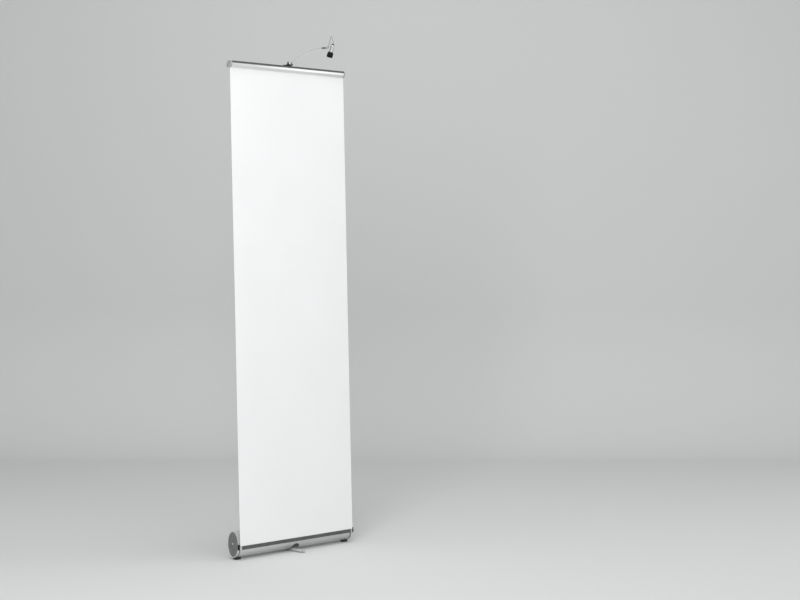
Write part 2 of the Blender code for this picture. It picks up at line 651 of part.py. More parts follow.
def build_collar(name, tube_radius, inside_radius, top, parent, black):
    """Build a ribbed twist collar on a tube's top end, round the tube that slides in it."""
    axis = axis_empty(name + "_axis", (0.0, 0.0, top), parent)
    neck_inner = inside_radius + GAP
    skirt_inner = tube_radius + GAP
    body = turned([(skirt_inner, -COLLAR_SKIRT), (COLLAR_RADIUS, -COLLAR_SKIRT),
                   (COLLAR_RADIUS, COLLAR_STRAIGHT), (COLLAR_RADIUS - COLLAR_TAPER, COLLAR_NECK),
                   (neck_inner, COLLAR_NECK), (neck_inner, GAP), (skirt_inner, GAP)])
    collar = add_piece(name, body, black, parent=axis)
    for count in range(COLLAR_GROOVES):
        angle = 2.0 * math.pi * count / COLLAR_GROOVES
        spot = (COLLAR_RADIUS * math.cos(angle), COLLAR_RADIUS * math.sin(angle), 0.0)
        groove = rod(COLLAR_GROOVE, -COLLAR_GROOVE_LOW, COLLAR_GROOVE_HIGH, steps=6)
        cut(collar, name + "_groove_" + str(count), groove, spot)
    return axis


def build_pole(carriage, middle, silver, black):
    """Build the pole's three tubes and its two twist collars."""
    stand = axis_empty("pole_place", (0.0, POLE_Y, 0.0))
    lower = ring(POLE_RADIUS - POLE_WALL, POLE_RADIUS, POLE_BOTTOM, POLE_BOTTOM + SECTION_LENGTH)
    add_piece("pole_lower_tube", lower, silver, parent=stand)
    build_collar("pole_collar_lower", POLE_RADIUS, MIDDLE_RADIUS, POLE_BOTTOM + SECTION_LENGTH, stand, black)

    middle_top = MIDDLE_BOTTOM + SECTION_LENGTH
    tube = ring(MIDDLE_RADIUS - POLE_WALL, MIDDLE_RADIUS, MIDDLE_BOTTOM, middle_top)
    add_piece("pole_middle_tube", tube, silver, parent=middle)
    build_collar("pole_collar_upper", MIDDLE_RADIUS, UPPER_RADIUS, middle_top, middle, black)

    upper = ring(UPPER_RADIUS - POLE_WALL, UPPER_RADIUS, UPPER_BOTTOM, POLE_TOP)
    shift = (0.0, POLE_Y - RAIL_Y, -RAIL_Z)
    add_piece("pole_upper_tube", upper, silver, shift, carriage)


# ---- rail ----
def rail_outline():
    """Return the rail body's (y, z) section, from the banner's top: a back with a channel for the hook."""
    back = RAIL_BACK
    inner = back - RAIL_WALL
    lip = BANNER_THICKNESS + GAP
    flange_front = JAW_AXIS_Y - RAIL_Y + JAW_BEAD_RADIUS + GAP
    under = RAIL_HEIGHT - RAIL_WALL
    far = back + CHANNEL_DEPTH
    mouth_low = (CHANNEL_BOTTOM + CHANNEL_TOP - CHANNEL_MOUTH) / 2
    mouth_high = mouth_low + CHANNEL_MOUTH
    inside = far - CHANNEL_WALL
    roof = CHANNEL_TOP - CHANNEL_WALL
    return [(lip, 0.0), (far, 0.0), (far, mouth_low), (inside, mouth_low), (inside, CHANNEL_BOTTOM),
            (back, CHANNEL_BOTTOM), (back, roof), (inside, roof), (inside, mouth_high), (far, mouth_high),
            (far, CHANNEL_TOP), (back, CHANNEL_TOP),
            (back, RAIL_HEIGHT), (flange_front, RAIL_HEIGHT), (flange_front, under), (inner, under),
            (inner, RAIL_WALL), (lip, RAIL_WALL)]


def jaw_outline():
    """Return the jaw's (y, z) section, from its bead: a leaning plate with a lip that grips the banner."""
    bottom = RAIL_Z - JAW_AXIS_Z + GAP
    top = RAIL_TOP - JAW_AXIS_Z - GAP
    grip = RAIL_Y - JAW_AXIS_Y - GAP
    foot = grip - JAW_THICKNESS
    head = foot - JAW_OVERHANG
    bead = arc((0.0, 0.0), JAW_BEAD_RADIUS, 120.0, -120.0, 10)
    knee = bottom + JAW_KNEE
    inner = head + JAW_THICKNESS
    return ([(foot, bottom), (head, knee), (head, top), (inner, top)] + bead
            + [(inner, bead[-1][1] - JAW_BEAD_RADIUS), (inner, knee + JAW_THICKNESS),
               (grip - JAW_LIP, bottom + JAW_THICKNESS), (grip, bottom + JAW_THICKNESS), (grip, bottom)])


def build_rail(carriage, silver, grey, black):
    """Build the rail's body, its front jaw with the dark strip, and its two end caps."""
    body = prism(rail_outline(), -RAIL_HALF, RAIL_HALF)
    add_piece("rail_body", body, silver, parent=carriage, smooth=False)
    hinge = axis_empty("jaw_axis", (0.0, JAW_AXIS_Y - RAIL_Y, JAW_AXIS_Z - RAIL_Z), carriage)
    outline = jaw_outline()
    add_piece("rail_jaw", prism(outline, -RAIL_HALF, RAIL_HALF), silver, parent=hinge, smooth=False)
    head = outline[2][0] - GAP
    top = outline[2][1]
    strip = block((-RAIL_HALF, head - RAIL_STRIP_THICKNESS, top - RAIL_STRIP_HEIGHT), (RAIL_HALF, head, top))
    add_piece("rail_jaw_strip", strip, black, parent=hinge, smooth=False)

    front = JAW_AXIS_Y - RAIL_Y + head - RAIL_STRIP_THICKNESS
    depth = RAIL_BACK + CHANNEL_DEPTH
    lower_front = JAW_AXIS_Y - RAIL_Y + outline[0][0] - RAIL_CAP_FOOT
    for side, name in ((-1, "left"), (1, "right")):
        ends = sorted((side * (RAIL_HALF + GAP), side * (RAIL_HALF + GAP + RAIL_CAP_THICKNESS)))
        shape = [(lower_front, 0.0), (depth, 0.0), (depth, CHANNEL_TOP),
                 (RAIL_BACK, CHANNEL_TOP + RAIL_CAP_STEP), (RAIL_BACK, RAIL_HEIGHT), (front, RAIL_HEIGHT),
                 (front, JAW_KNEE)]
        cap = add_piece("rail_end_cap_" + name, prism(shape, *ends), grey, parent=carriage, smooth=False)
        soften(cap, RAIL_CAP_BEVEL, 1)
        tongue_low = RAIL_WALL + GAP
        tongue_high = RAIL_HEIGHT - RAIL_WALL - GAP
        tongue_back = RAIL_BACK - RAIL_WALL - GAP
        tongue_x = sorted((side * (RAIL_HALF + 2 * GAP), side * (RAIL_HALF - TONGUE_REACH)))
        tongue = block((tongue_x[0], tongue_back - TONGUE_DEPTH, tongue_low),
                       (tongue_x[1], tongue_back, tongue_high))
        cut(cap, "tongue_" + name, tongue, operation="UNION")


def build_hook(carriage, black):
    """Build the hook that caps the pole and holds the rail by its channel."""
    pole = POLE_Y - RAIL_Y
    ceiling = POLE_TOP_DROP + GAP
    top = ceiling + HOOK_CROWN
    low = top - HOOK_CAP_LENGTH
    bore = UPPER_RADIUS + GAP
    cup = turned([(0.0, ceiling), (bore, ceiling), (bore, low), (HOOK_CAP_RADIUS, low),
                  (HOOK_CAP_RADIUS, top), (0.0, top)])
    hook = add_piece("pole_hook", cup, black, (0.0, pole, 0.0), carriage)
    mouth_low = (CHANNEL_BOTTOM + CHANNEL_TOP - CHANNEL_MOUTH) / 2
    neck_low = mouth_low + GAP
    neck_high = mouth_low + CHANNEL_MOUTH - GAP
    half = HOOK_HEAD_WIDTH / 2
    slim = HOOK_NECK_WIDTH / 2
    channel_front = RAIL_BACK + GAP - pole
    channel_back = RAIL_BACK + CHANNEL_DEPTH - CHANNEL_WALL - GAP - pole
    neck = block((-slim, channel_back - SLACK, neck_low), (slim, SLACK, neck_high))
    riser = block((-slim, -HOOK_RISER_REACH, ceiling + 3 * GAP), (slim, SLACK, neck_high))
    head = block((-half, channel_front, CHANNEL_BOTTOM + GAP),
                 (half, channel_back, CHANNEL_TOP - CHANNEL_WALL - GAP))
    cut(hook, "hook_neck", neck, operation="UNION")
    cut(hook, "hook_riser", riser, operation="UNION")
    cut(hook, "hook_head", head, operation="UNION")


def build_banner(white):
    """Build the banner: a thin sheet that leans back from the slot to the rail."""
    back = BANNER_LEAN + BANNER_THICKNESS
    end = BANNER_RISE + BANNER_GRIP
    outline = [(0.0, 0.0), (BANNER_THICKNESS, 0.0), (back, BANNER_RISE), (back, end), (BANNER_LEAN, end),
               (BANNER_LEAN, BANNER_RISE)]
    sheet = prism(outline, -BANNER_WIDTH / 2, BANNER_WIDTH / 2)
    add_piece("banner", sheet, white, (0.0, BANNER_Y, BANNER_BOTTOM), smooth=False)


# ---- lamp ----
def build_clamp(carriage, black, steel):
    """Build the lamp's clamp: a plate over the rail, a leg behind it, two ears, bolt, knob and gland."""
    back = RAIL_BACK
    nose = -EAR_AHEAD - EAR_DEPTH / 2
    rear = back + GAP + CLAMP_LEG
    seat = RAIL_HEIGHT + GAP
    lift = RAIL_HEIGHT + CLAMP_LIFT
    top = lift + CLAMP_PLATE
    flange_front = JAW_AXIS_Y - RAIL_Y + JAW_BEAD_RADIUS + GAP + CLAMP_STEP
    leg_bottom = CHANNEL_TOP + GAP
    outline = [(nose, lift), (flange_front, lift), (flange_front, seat), (back + GAP, seat),
               (back + GAP, leg_bottom), (rear, leg_bottom), (rear, top), (nose, top)]
    half = CLAMP_WIDTH / 2
    clamp = add_piece("lamp_clamp", prism(outline, -half, half), black, parent=carriage, smooth=False)
    knob_z = (leg_bottom + top) / 2
    cut(clamp, "knob_way", rod(KNOB_SCREW_RADIUS + GAP, back - SLACK, rear + SLACK, "Y", SMALL_STEPS),
        (0.0, 0.0, knob_z))
    cut(clamp, "gland_way", rod(GLAND_STEM_RADIUS, back - SLACK, rear + SLACK, "Y", SMALL_STEPS),
        (GLAND_OFFSET, 0.0, knob_z))
    ear_top = RAIL_HEIGHT + EAR_HEIGHT
    pivot = PIVOT_Z - RAIL_Z
    for side, name in ((-1, "left"), (1, "right")):
        centre = side * EAR_SPACING / 2
        shape = [(centre - EAR_WIDTH / 2, top - SLACK), (centre + EAR_WIDTH / 2, top - SLACK),
                 (centre + EAR_TOP_WIDTH / 2, ear_top), (centre - EAR_TOP_WIDTH / 2, ear_top)]
        ear = prism(shape, nose, nose + EAR_DEPTH, "Y")
        cut(clamp, "ear_" + name, ear, operation="UNION")
    reach = EAR_SPACING / 2 + EAR_WIDTH
    cut(clamp, "bolt_way", rod(BOLT_RADIUS + GAP, -reach, reach, "X", SMALL_STEPS), (0.0, -EAR_AHEAD, pivot))

    share = (pivot - top) / (ear_top - top)
    ear_face = EAR_SPACING / 2 + (EAR_WIDTH * (1 - share) + EAR_TOP_WIDTH * share) / 2
    seat_x = ear_face + GAP + BOLT_HEAD_RADIUS * (EAR_WIDTH - EAR_TOP_WIDTH) / (2 * (ear_top - top))
    profile = [(0.0, -seat_x), (BOLT_RADIUS, -seat_x), (BOLT_RADIUS, seat_x), (BOLT_HEAD_RADIUS, seat_x),
               (BOLT_HEAD_RADIUS, seat_x + BOLT_HEAD_HEIGHT), (0.0, seat_x + BOLT_HEAD_HEIGHT)]
    add_piece("arm_bolt", turned(profile, "X", SMALL_STEPS), steel, (0.0, -EAR_AHEAD, pivot), carriage)

    knob_axis = axis_empty("knob_axis", (0.0, rear, knob_z), carriage)
    grip = GAP + KNOB_LENGTH
    shape = [(0.0, back + GAP - rear), (KNOB_SCREW_RADIUS, back + GAP - rear), (KNOB_SCREW_RADIUS, GAP),
             (KNOB_RADIUS, GAP), (KNOB_RADIUS, grip - KNOB_BEVEL), (KNOB_RADIUS - KNOB_BEVEL, grip),
             (0.0, grip)]
    knob = add_piece("clamp_knob", turned(shape, "Y", ROUND_STEPS), black, parent=knob_axis)
    for count in range(KNOB_DENTS):
        angle = 2.0 * math.pi * count / KNOB_DENTS
        spot = (KNOB_DENT_REACH * math.cos(angle), 0.0, KNOB_DENT_REACH * math.sin(angle))
        dent = rod(KNOB_DENT_RADIUS, GAP + KNOB_FLANGE, grip + SLACK, "Y", 10)
        cut(knob, "knob_dent_" + str(count), dent, spot)

    shape = [(0.0, back + GAP - rear), (GLAND_STEM_RADIUS - GAP, back + GAP - rear),
             (GLAND_STEM_RADIUS - GAP, GAP), (GLAND_RADIUS, GAP), (GLAND_RADIUS, GLAND_COLLAR),
             (GLAND_TIP_RADIUS, GLAND_LENGTH), (GLAND_MOUTH_RADIUS, GLAND_LENGTH), (0.0, GLAND_COLLAR)]
    add_piece("cable_gland", turned(shape, "Y", SMALL_STEPS), black, (GLAND_OFFSET, rear, knob_z), carriage)


def smooth_route(points, per_span):
    """Return points on a smooth curve through a route of 3-D points."""
    route = [Vector(point) for point in points]
    padded = [route[0] * 2 - route[1]] + route + [route[-1] * 2 - route[-2]]
    result = []
    for index in range(1, len(padded) - 2):
        before, start, end, after = padded[index - 1:index + 3]
        for step in range(per_span):
            t = step / per_span
            point = 0.5 * (2 * start + (end - before) * t + (2 * before - 5 * start + 4 * end - after) * t ** 2
                           + (3 * start - before - 3 * end + after) * t ** 3)
            result.append(point)
    result.append(route[-1])
    return result


def swept(points, outer, inner=0.0, steps=10):
    """Return a bmesh bar, or a tube where it has an inner radius, along a route in the YZ plane."""
    bm = bmesh.new()
    layers = []
    for index, point in enumerate(points):
        after = points[min(index + 1, len(points) - 1)]
        before = points[max(index - 1, 0)]
        heading = (after - before).normalized()
        side = heading.cross(Vector((1.0, 0.0, 0.0)))
        layer = []
        for radius in (outer, inner):
            if radius <= 0.0:
                continue
            loop = []
            for step in range(steps):
                angle = 2.0 * math.pi * step / steps
                offset = Vector((1.0, 0.0, 0.0)) * math.cos(angle) + side * math.sin(angle)
                loop.append(bm.verts.new(point + offset * radius))
            layer.append(loop)
        layers.append(layer)
    for lower, upper in zip(layers, layers[1:]):
        for first, second in zip(lower, upper):
            bridge_loops(bm, first, second)
    for layer in (layers[0], layers[-1]):
        if inner > 0.0:
            bridge_loops(bm, layer[0], layer[1])
        else:
            bm.faces.new(layer[0])
    return bm


def bridge_loops(bm, first, second):
    """Join two rings of vertices with quads."""
    count = len(first)
    for step in range(count):
        after = (step + 1) % count
        bm.faces.new((first[step], first[after], second[after], second[step]))


def build_arm(pitch, silver, grey):
    """Build the arm: its barrel between the ears, the bowed bar, the sleeve at its end and its knuckle."""
    half = EAR_SPACING / 2 - EAR_WIDTH / 2 - GAP
    barrel = add_piece("arm_barrel", rod(BARREL_RADIUS, -half, half, "X", 24), silver, parent=pitch)
    cut(barrel, "barrel_bore", rod(BOLT_RADIUS + GAP, -half - SLACK, half + SLACK, "X", SMALL_STEPS))

    knuckle = Vector((0.0, *KNUCKLE_PLACE))
    route = smooth_route([(0.0, *point) for point in ARM_ROUTE] + [knuckle], 3)
    bar = [point for point in route if point.length > BARREL_RADIUS + GAP]
    bar = [point for point in bar if (point - knuckle).length > KNUCKLE_RADIUS + GAP]
    bar.insert(0, bar[0].normalized() * (BARREL_RADIUS + GAP))
    bar.append(knuckle + (bar[-1] - knuckle).normalized() * (KNUCKLE_RADIUS + GAP))
    add_piece("lamp_arm", swept(bar, ARM_RADIUS), silver, parent=pitch)
    cover = [point for point in bar[:-1] if (point - knuckle).length < SLEEVE_LENGTH]
    cover.append(knuckle + (bar[-1] - knuckle).normalized() * (KNUCKLE_RADIUS + 2 * GAP))
    add_piece("arm_sleeve", swept(cover, SLEEVE_RADIUS, ARM_RADIUS + GAP), grey, parent=pitch)
    eye_half = KNUCKLE_WIDTH / 2
    eye = add_piece("arm_knuckle", rod(KNUCKLE_RADIUS, -eye_half, eye_half, "X", 24), silver, knuckle, pitch)
    cut(eye, "knuckle_bore", rod(PIN_RADIUS + GAP, -eye_half - SLACK, eye_half + SLACK, "X", SMALL_STEPS))


def build_yoke(tilt, silver, steel):
    """Build the yoke that carries the lamp on the knuckle, and the knuckle's pin."""
    inner = KNUCKLE_WIDTH / 2 + GAP
    outer = inner + FORK_THICKNESS
    height = FORK_HEIGHT / 2
    turn = Matrix.Rotation(LAMP_TILT, 4, "X")
    top = Vector((0.0, *LAMP_TOP))
    band_place = top + turn @ Vector((0.0, 0.0, -BAND_DROP))
    band = ring(LAMP_RADIUS + GAP, LAMP_RADIUS + BAND_WALL, -BAND_HEIGHT / 2, BAND_HEIGHT / 2, steps=20)
    bmesh.ops.rotate(band, verts=band.verts, cent=(0.0, 0.0, 0.0), matrix=turn.to_3x3())
    bmesh.ops.translate(band, verts=band.verts, vec=band_place)
    yoke = add_piece("lamp_yoke", band, silver, parent=tilt)
    reach = band_place.y + LAMP_RADIUS + BAND_WALL
    for side, name in ((-1, "left"), (1, "right")):
        x = sorted((side * inner, side * outer))
        cheek = prism(arc((0.0, 0.0), KNUCKLE_RADIUS, -90.0, 90.0, 12)
                      + [(-KNUCKLE_RADIUS - FORK_BACK, height), (-KNUCKLE_RADIUS - FORK_BACK, -height)], *x)
        cut(yoke, "cheek_" + name, cheek, operation="UNION")
    link = block((-outer, reach - BAND_WALL / 2, -height), (outer, -KNUCKLE_RADIUS - GAP * 2, height))
    cut(yoke, "link", link, operation="UNION")
    clearance = rod(LAMP_RADIUS + GAP, -LAMP_LENGTH, LAMP_LENGTH, steps=20)
    bmesh.ops.rotate(clearance, verts=clearance.verts, cent=(0.0, 0.0, 0.0), matrix=turn.to_3x3())
    cut(yoke, "body_way", clearance, band_place)
    cut(yoke, "pin_way", rod(PIN_RADIUS + GAP, -outer - SLACK, outer + SLACK, "X", SMALL_STEPS))
    seat = outer + GAP
    head = seat + PIN_HEAD_HEIGHT
    profile = [(0.0, -head), (PIN_HEAD_RADIUS, -head), (PIN_HEAD_RADIUS, -seat), (PIN_RADIUS, -seat),
               (PIN_RADIUS, seat), (PIN_HEAD_RADIUS, seat), (PIN_HEAD_RADIUS, head), (0.0, head)]
    add_piece("knuckle_pin", turned(profile, "X", SMALL_STEPS), steel, parent=tilt)


def build_head(tilt, silver, black, frosted, grey):
    """Build the lamp on its own leaning axis: body, top cap, shade, LED module, lens and looped lead."""
    axis = axis_empty("lamp_axis", (0.0, *LAMP_TOP), tilt)
    axis.rotation_euler = (LAMP_TILT, 0.0, 0.0)
    end = -LAMP_LENGTH
    spigot_end = end - SHADE_TOP - 2 * GAP
    body = turned([(0.0, spigot_end), (SPIGOT_RADIUS, spigot_end), (SPIGOT_RADIUS, end), (LAMP_RADIUS, end),
                   (LAMP_RADIUS, -LAMP_EDGE), (LAMP_RADIUS - LAMP_EDGE, 0.0), (0.0, 0.0)])
    add_piece("lamp_body", body, silver, parent=axis)
    cap = turned([(0.0, GAP), (LAMP_CAP_RADIUS, GAP), (LAMP_CAP_RADIUS, LAMP_CAP_EDGE),
                  (LAMP_CAP_TOP_RADIUS, LAMP_CAP_HEIGHT), (0.0, LAMP_CAP_HEIGHT)], steps=24)
    add_piece("lamp_cap", cap, black, parent=axis)

    high = end - GAP
    low = high - SHADE_LENGTH
    outer = []
    inner = []
    for step in range(SHADE_STEPS + 1):
        angle = math.pi / 2 * step / SHADE_STEPS
        depth = 1.0 - math.cos(angle)
        spread = math.sin(angle)
        outer.append((SHADE_NECK_RADIUS + (SHADE_RADIUS - SHADE_NECK_RADIUS) * spread,
                      high - SHADE_DOME * depth))
        inner.append((SHADE_NECK_RADIUS + (SHADE_RADIUS - SHADE_NECK_RADIUS) * spread - SHADE_WALL,
                      high - SHADE_TOP - (SHADE_DOME - SHADE_TOP) * depth))
    profile = ([(SPIGOT_RADIUS + GAP, high)] + outer + [(SHADE_RADIUS, low), (SHADE_RADIUS - SHADE_WALL, low)]
               + list(reversed(inner)) + [(SPIGOT_RADIUS + GAP, high - SHADE_TOP)])
    add_piece("lamp_shade", turned(profile), black, parent=axis)
    led_high = spigot_end - GAP
    add_piece("led_module", rod(LED_RADIUS, led_high - LED_THICKNESS, led_high, steps=24), grey, parent=axis)
    lens_low = low + LENS_INSET
    lens_radius = SHADE_RADIUS - SHADE_WALL - GAP
    lens_high = lens_low + LENS_THICKNESS
    lens = turned([(0.0, lens_low), (lens_radius, lens_low), (lens_radius, lens_high), (0.0, lens_high)])
    add_piece("lamp_lens", lens, frosted, parent=axis)

    turn = Matrix.Rotation(LAMP_TILT, 4, "X")
    top = Vector((0.0, *LAMP_TOP)) + turn @ Vector((0.0, 0.0, LAMP_CAP_HEIGHT + GAP))
    rise = turn @ Vector((0.0, 0.0, LEAD_RISE))
    side = KNUCKLE_WIDTH / 2 + GAP + FORK_THICKNESS / 2
    foot = Vector((side, 0.0, KNUCKLE_RADIUS + GAP))
    apex = Vector((side / 2, *LEAD_APEX))
    route = [foot, foot + Vector((0.0, 0.0, LEAD_RISE)), foot.lerp(apex, 0.6) + Vector((0.0, LEAD_BOW, 0.0)),
             apex + Vector((0.0, LEAD_BEND, -LEAD_BEND)), apex, apex + Vector((0.0, -LEAD_BEND, -LEAD_BEND)),
             top.lerp(apex, 0.5) + Vector((0.0, -LEAD_BOW, 0.0)), top + rise, top]
    add_curve("lamp_lead", smooth_route(route, 3), LEAD_RADIUS, grey, tilt, sides=2)


def main():
    """Remove what the scene holds and build the stand."""
    for item in list(bpy.data.objects):
        bpy.data.objects.remove(item, do_unlink=True)
    silver = finish("satin_aluminium", (0.74, 0.75, 0.76), 0.35, 0.9)
    grey = finish("dark_grey_plastic", (0.15, 0.155, 0.155), 0.5, 0.0)
    black = finish("black_plastic", (0.02, 0.02, 0.022), 0.45, 0.0)
    steel = finish("bright_steel", (0.8, 0.8, 0.8), 0.2, 1.0)
    white = finish("white_banner", (0.9, 0.9, 0.9), 0.6, 0.0)
    frosted = finish("frosted_lens", (0.85, 0.86, 0.84), 0.3, 0.0)
    drum = axis_empty("drum_centre", (0.0, DRUM_Y, DRUM_Z))
    build_shell(drum, silver, black)
    for side, name in ((-1, "left"), (1, "right")):
        build_end(side, name, drum, silver, grey, black, steel)
        build_shoe(side, name, drum, black)
    build_roller(silver, white, black, steel)
    build_leader(drum, white)
    build_foot(silver, black, steel, white)
    build_socket(drum, black)
    carriage = axis_empty("rail_carriage", (0.0, RAIL_Y, RAIL_Z))
    middle = axis_empty("middle_carriage", (0.0, POLE_Y, 0.0))
    build_pole(carriage, middle, silver, black)
    build_rail(carriage, silver, grey, black)
    build_hook(carriage, black)
    build_banner(white)
    build_clamp(carriage, black, steel)
    pitch = axis_empty("arm_axis", (0.0, PIVOT_Y, PIVOT_Z))
    build_arm(pitch, silver, grey)
    tilt = axis_empty("head_axis", (0.0, *KNUCKLE_PLACE), pitch)
    build_yoke(tilt, silver, steel)
    build_head(tilt, silver, black, frosted, grey)


main()
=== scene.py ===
"""Roll-up banner stand with a clip-on lamp: its visible pieces and finishes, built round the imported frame.

Metres, +Z up, +X along the cassette, and the banner faces -Y.
"""
import json
import logging
import math
from collections.abc import Callable, Sequence
from dataclasses import dataclass
from enum import Enum

import bpy
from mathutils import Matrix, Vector


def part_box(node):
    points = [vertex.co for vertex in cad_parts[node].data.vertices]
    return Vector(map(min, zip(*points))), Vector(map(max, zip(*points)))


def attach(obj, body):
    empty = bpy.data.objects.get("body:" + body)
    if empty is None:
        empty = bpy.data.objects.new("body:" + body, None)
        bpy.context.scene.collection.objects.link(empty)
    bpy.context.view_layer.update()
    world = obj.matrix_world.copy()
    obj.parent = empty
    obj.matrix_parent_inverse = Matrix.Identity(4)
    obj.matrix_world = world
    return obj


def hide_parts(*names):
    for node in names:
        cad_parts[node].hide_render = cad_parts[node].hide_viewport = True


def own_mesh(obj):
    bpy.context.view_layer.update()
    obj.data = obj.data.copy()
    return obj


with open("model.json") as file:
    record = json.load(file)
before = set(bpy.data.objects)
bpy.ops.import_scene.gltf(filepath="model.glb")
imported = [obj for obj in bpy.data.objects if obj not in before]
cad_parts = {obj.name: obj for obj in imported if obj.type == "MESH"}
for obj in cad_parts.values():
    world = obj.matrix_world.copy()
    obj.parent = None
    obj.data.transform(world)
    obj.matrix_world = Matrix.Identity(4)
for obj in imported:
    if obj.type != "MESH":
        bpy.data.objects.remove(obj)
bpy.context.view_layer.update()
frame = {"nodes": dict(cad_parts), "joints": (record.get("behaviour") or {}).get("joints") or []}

Colour = tuple[float, float, float]
Pair = tuple[float, float]
Point = tuple[float, float, float]

LOG = logging.getLogger("banner_stand")

GAP = 0.0003
SLACK = 0.0010
MERGE = 0.000005


class Axis(Enum):
    """The direction that a section runs along, or that a profile is turned about."""

    X = 0
    Y = 1
    Z = 2

    @property
    def vector(self) -> Vector:
        """Return the axis as a unit vector."""
        return Vector([1.0 if index == self.value else 0.0 for index in range(3)])

    @property
    def across(self) -> Vector:
        """Return a unit vector square to the axis."""
        return Vector((0.0, 0.0, 1.0)) if self is not Axis.Z else Vector((1.0, 0.0, 0.0))

    def lay(self, pair: Pair, along: float) -> Vector:
        """Put a section's point at a place along the axis.

        Args:
            pair: the point in the two other axes, in their order.
            along: the place along this axis.

        Returns:
            The point in space.
        """
        spots = list(pair)
        spots.insert(self.value, along)
        return Vector(spots)


class Side(Enum):
    """The two ends of the stand, by their sign along X."""

    LEFT = -1
    RIGHT = 1

    @property
    def word(self) -> str:
        """Return the end's name in small letters."""
        return self.name.lower()


@dataclass(frozen=True)
class Span:
    """The box that a CAD node fills."""

    low: Vector
    high: Vector

    @classmethod
    def of(cls, node: str) -> "Span":
        """Return the box of a CAD node."""
        return cls(*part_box(node))

    @property
    def middle(self) -> Vector:
        """Return the box's centre."""
        return (self.low + self.high) / 2

    @property
    def size(self) -> Vector:
        """Return the box's three sides."""
        return self.high - self.low


def arc(centre: Pair, radius: float, start: float, end: float, steps: int) -> list[Pair]:
    """Return points on a round arc.

    Args:
        centre: the arc's centre.
        radius: its radius.
        start: the first angle, in degrees.
        end: the last angle, in degrees.
        steps: the number of steps between them.

    Returns:
        The points, with both ends.
    """
    angles = [math.radians(start + (end - start) * step / steps) for step in range(steps + 1)]
    return [(centre[0] + radius * math.cos(angle), centre[1] + radius * math.sin(angle)) for angle in angles]


def rounded(low: Pair, high: Pair, radius: float, steps: int = 4) -> list[Pair]:
    """Return the outline of a rectangle with round corners.

    Args:
        low: its lowest corner.
        high: its highest corner.
        radius: the corners' radius.
        steps: the steps in each corner.

    Returns:
        The outline's points.
    """
    corners = [(high[0], low[1], -90.0), (high[0], high[1], 0.0), (low[0], high[1], 90.0), (low[0], low[1], 180.0)]
    points: list[Pair] = []
    for across, up, start in corners:
        centre = (across - math.copysign(radius, across - (low[0] + high[0]) / 2),
                  up - math.copysign(radius, up - (low[1] + high[1]) / 2))
        points += arc(centre, radius, start, start + 90.0, steps)
    return points


def filleted(outline: Sequence[Pair], radius: float, steps: int = 3, only: Sequence[int] | None = None) -> list[Pair]:
    """Round the corners of an outline with short curves.

    Args:
        outline: the outline's corners in order.
        radius: how far from a corner its curve starts, where the sides are long enough.
        steps: the steps in each curve.
        only: the corners to round, or None for all of them.

    Returns:
        The rounded outline.
    """
    points: list[Pair] = []
    count = len(outline)
    for index in range(count):
        corner = Vector(outline[index])
        if only is not None and index not in only:
            points.append(tuple(corner))
            continue
        before = Vector(outline[index - 1]) - corner
        after = Vector(outline[(index + 1) % count]) - corner
        start = corner + before.normalized() * min(radius, before.length * 0.45)
        end = corner + after.normalized() * min(radius, after.length * 0.45)
        for step in range(steps + 1):
            share = step / steps
            points.append(tuple(start.lerp(corner, share).lerp(corner.lerp(end, share), share)))
    return points


def oval(centre: Pair, half_depth: float, half_height: float, steps: int = 120,
         start: float = 0.0, end: float = math.tau) -> list[Pair]:
    """Return points on an oval in the YZ plane.

    Args:
        centre: the oval's centre.
        half_depth: half its depth, front to back.
        half_height: half its height.
        steps: the steps from start to end.
        start: the first angle in radians, from the front and over the top.
        end: the last angle; a whole turn leaves the first point out at the end.

    Returns:
        The points in order.
    """
    whole = math.isclose(end - start, math.tau)
    angles = [start + (end - start) * step / steps for step in range(steps if whole else steps + 1)]
    return [(centre[0] - half_depth * math.cos(angle), centre[1] + half_height * math.sin(angle)) for angle in angles]


def flowing(points: Sequence[Vector], per_span: int) -> list[Vector]:
    """Return points on a smooth curve through a route.

    Args:
        points: the route's points.
        per_span: the steps between one point and the next.

    Returns:
        The curve's points, with both ends.
    """
    padded = [points[0] * 2 - points[1], *points, points[-1] * 2 - points[-2]]
    result: list[Vector] = []
    for before, start, end, after in zip(padded, padded[1:], padded[2:], padded[3:]):
        for step in range(per_span):
            share = step / per_span
            result.append(0.5 * (2 * start + (end - before) * share
                                 + (2 * before - 5 * start + 4 * end - after) * share ** 2
                                 + (3 * start - before - 3 * end + after) * share ** 3))
    return [*result, points[-1].copy()]


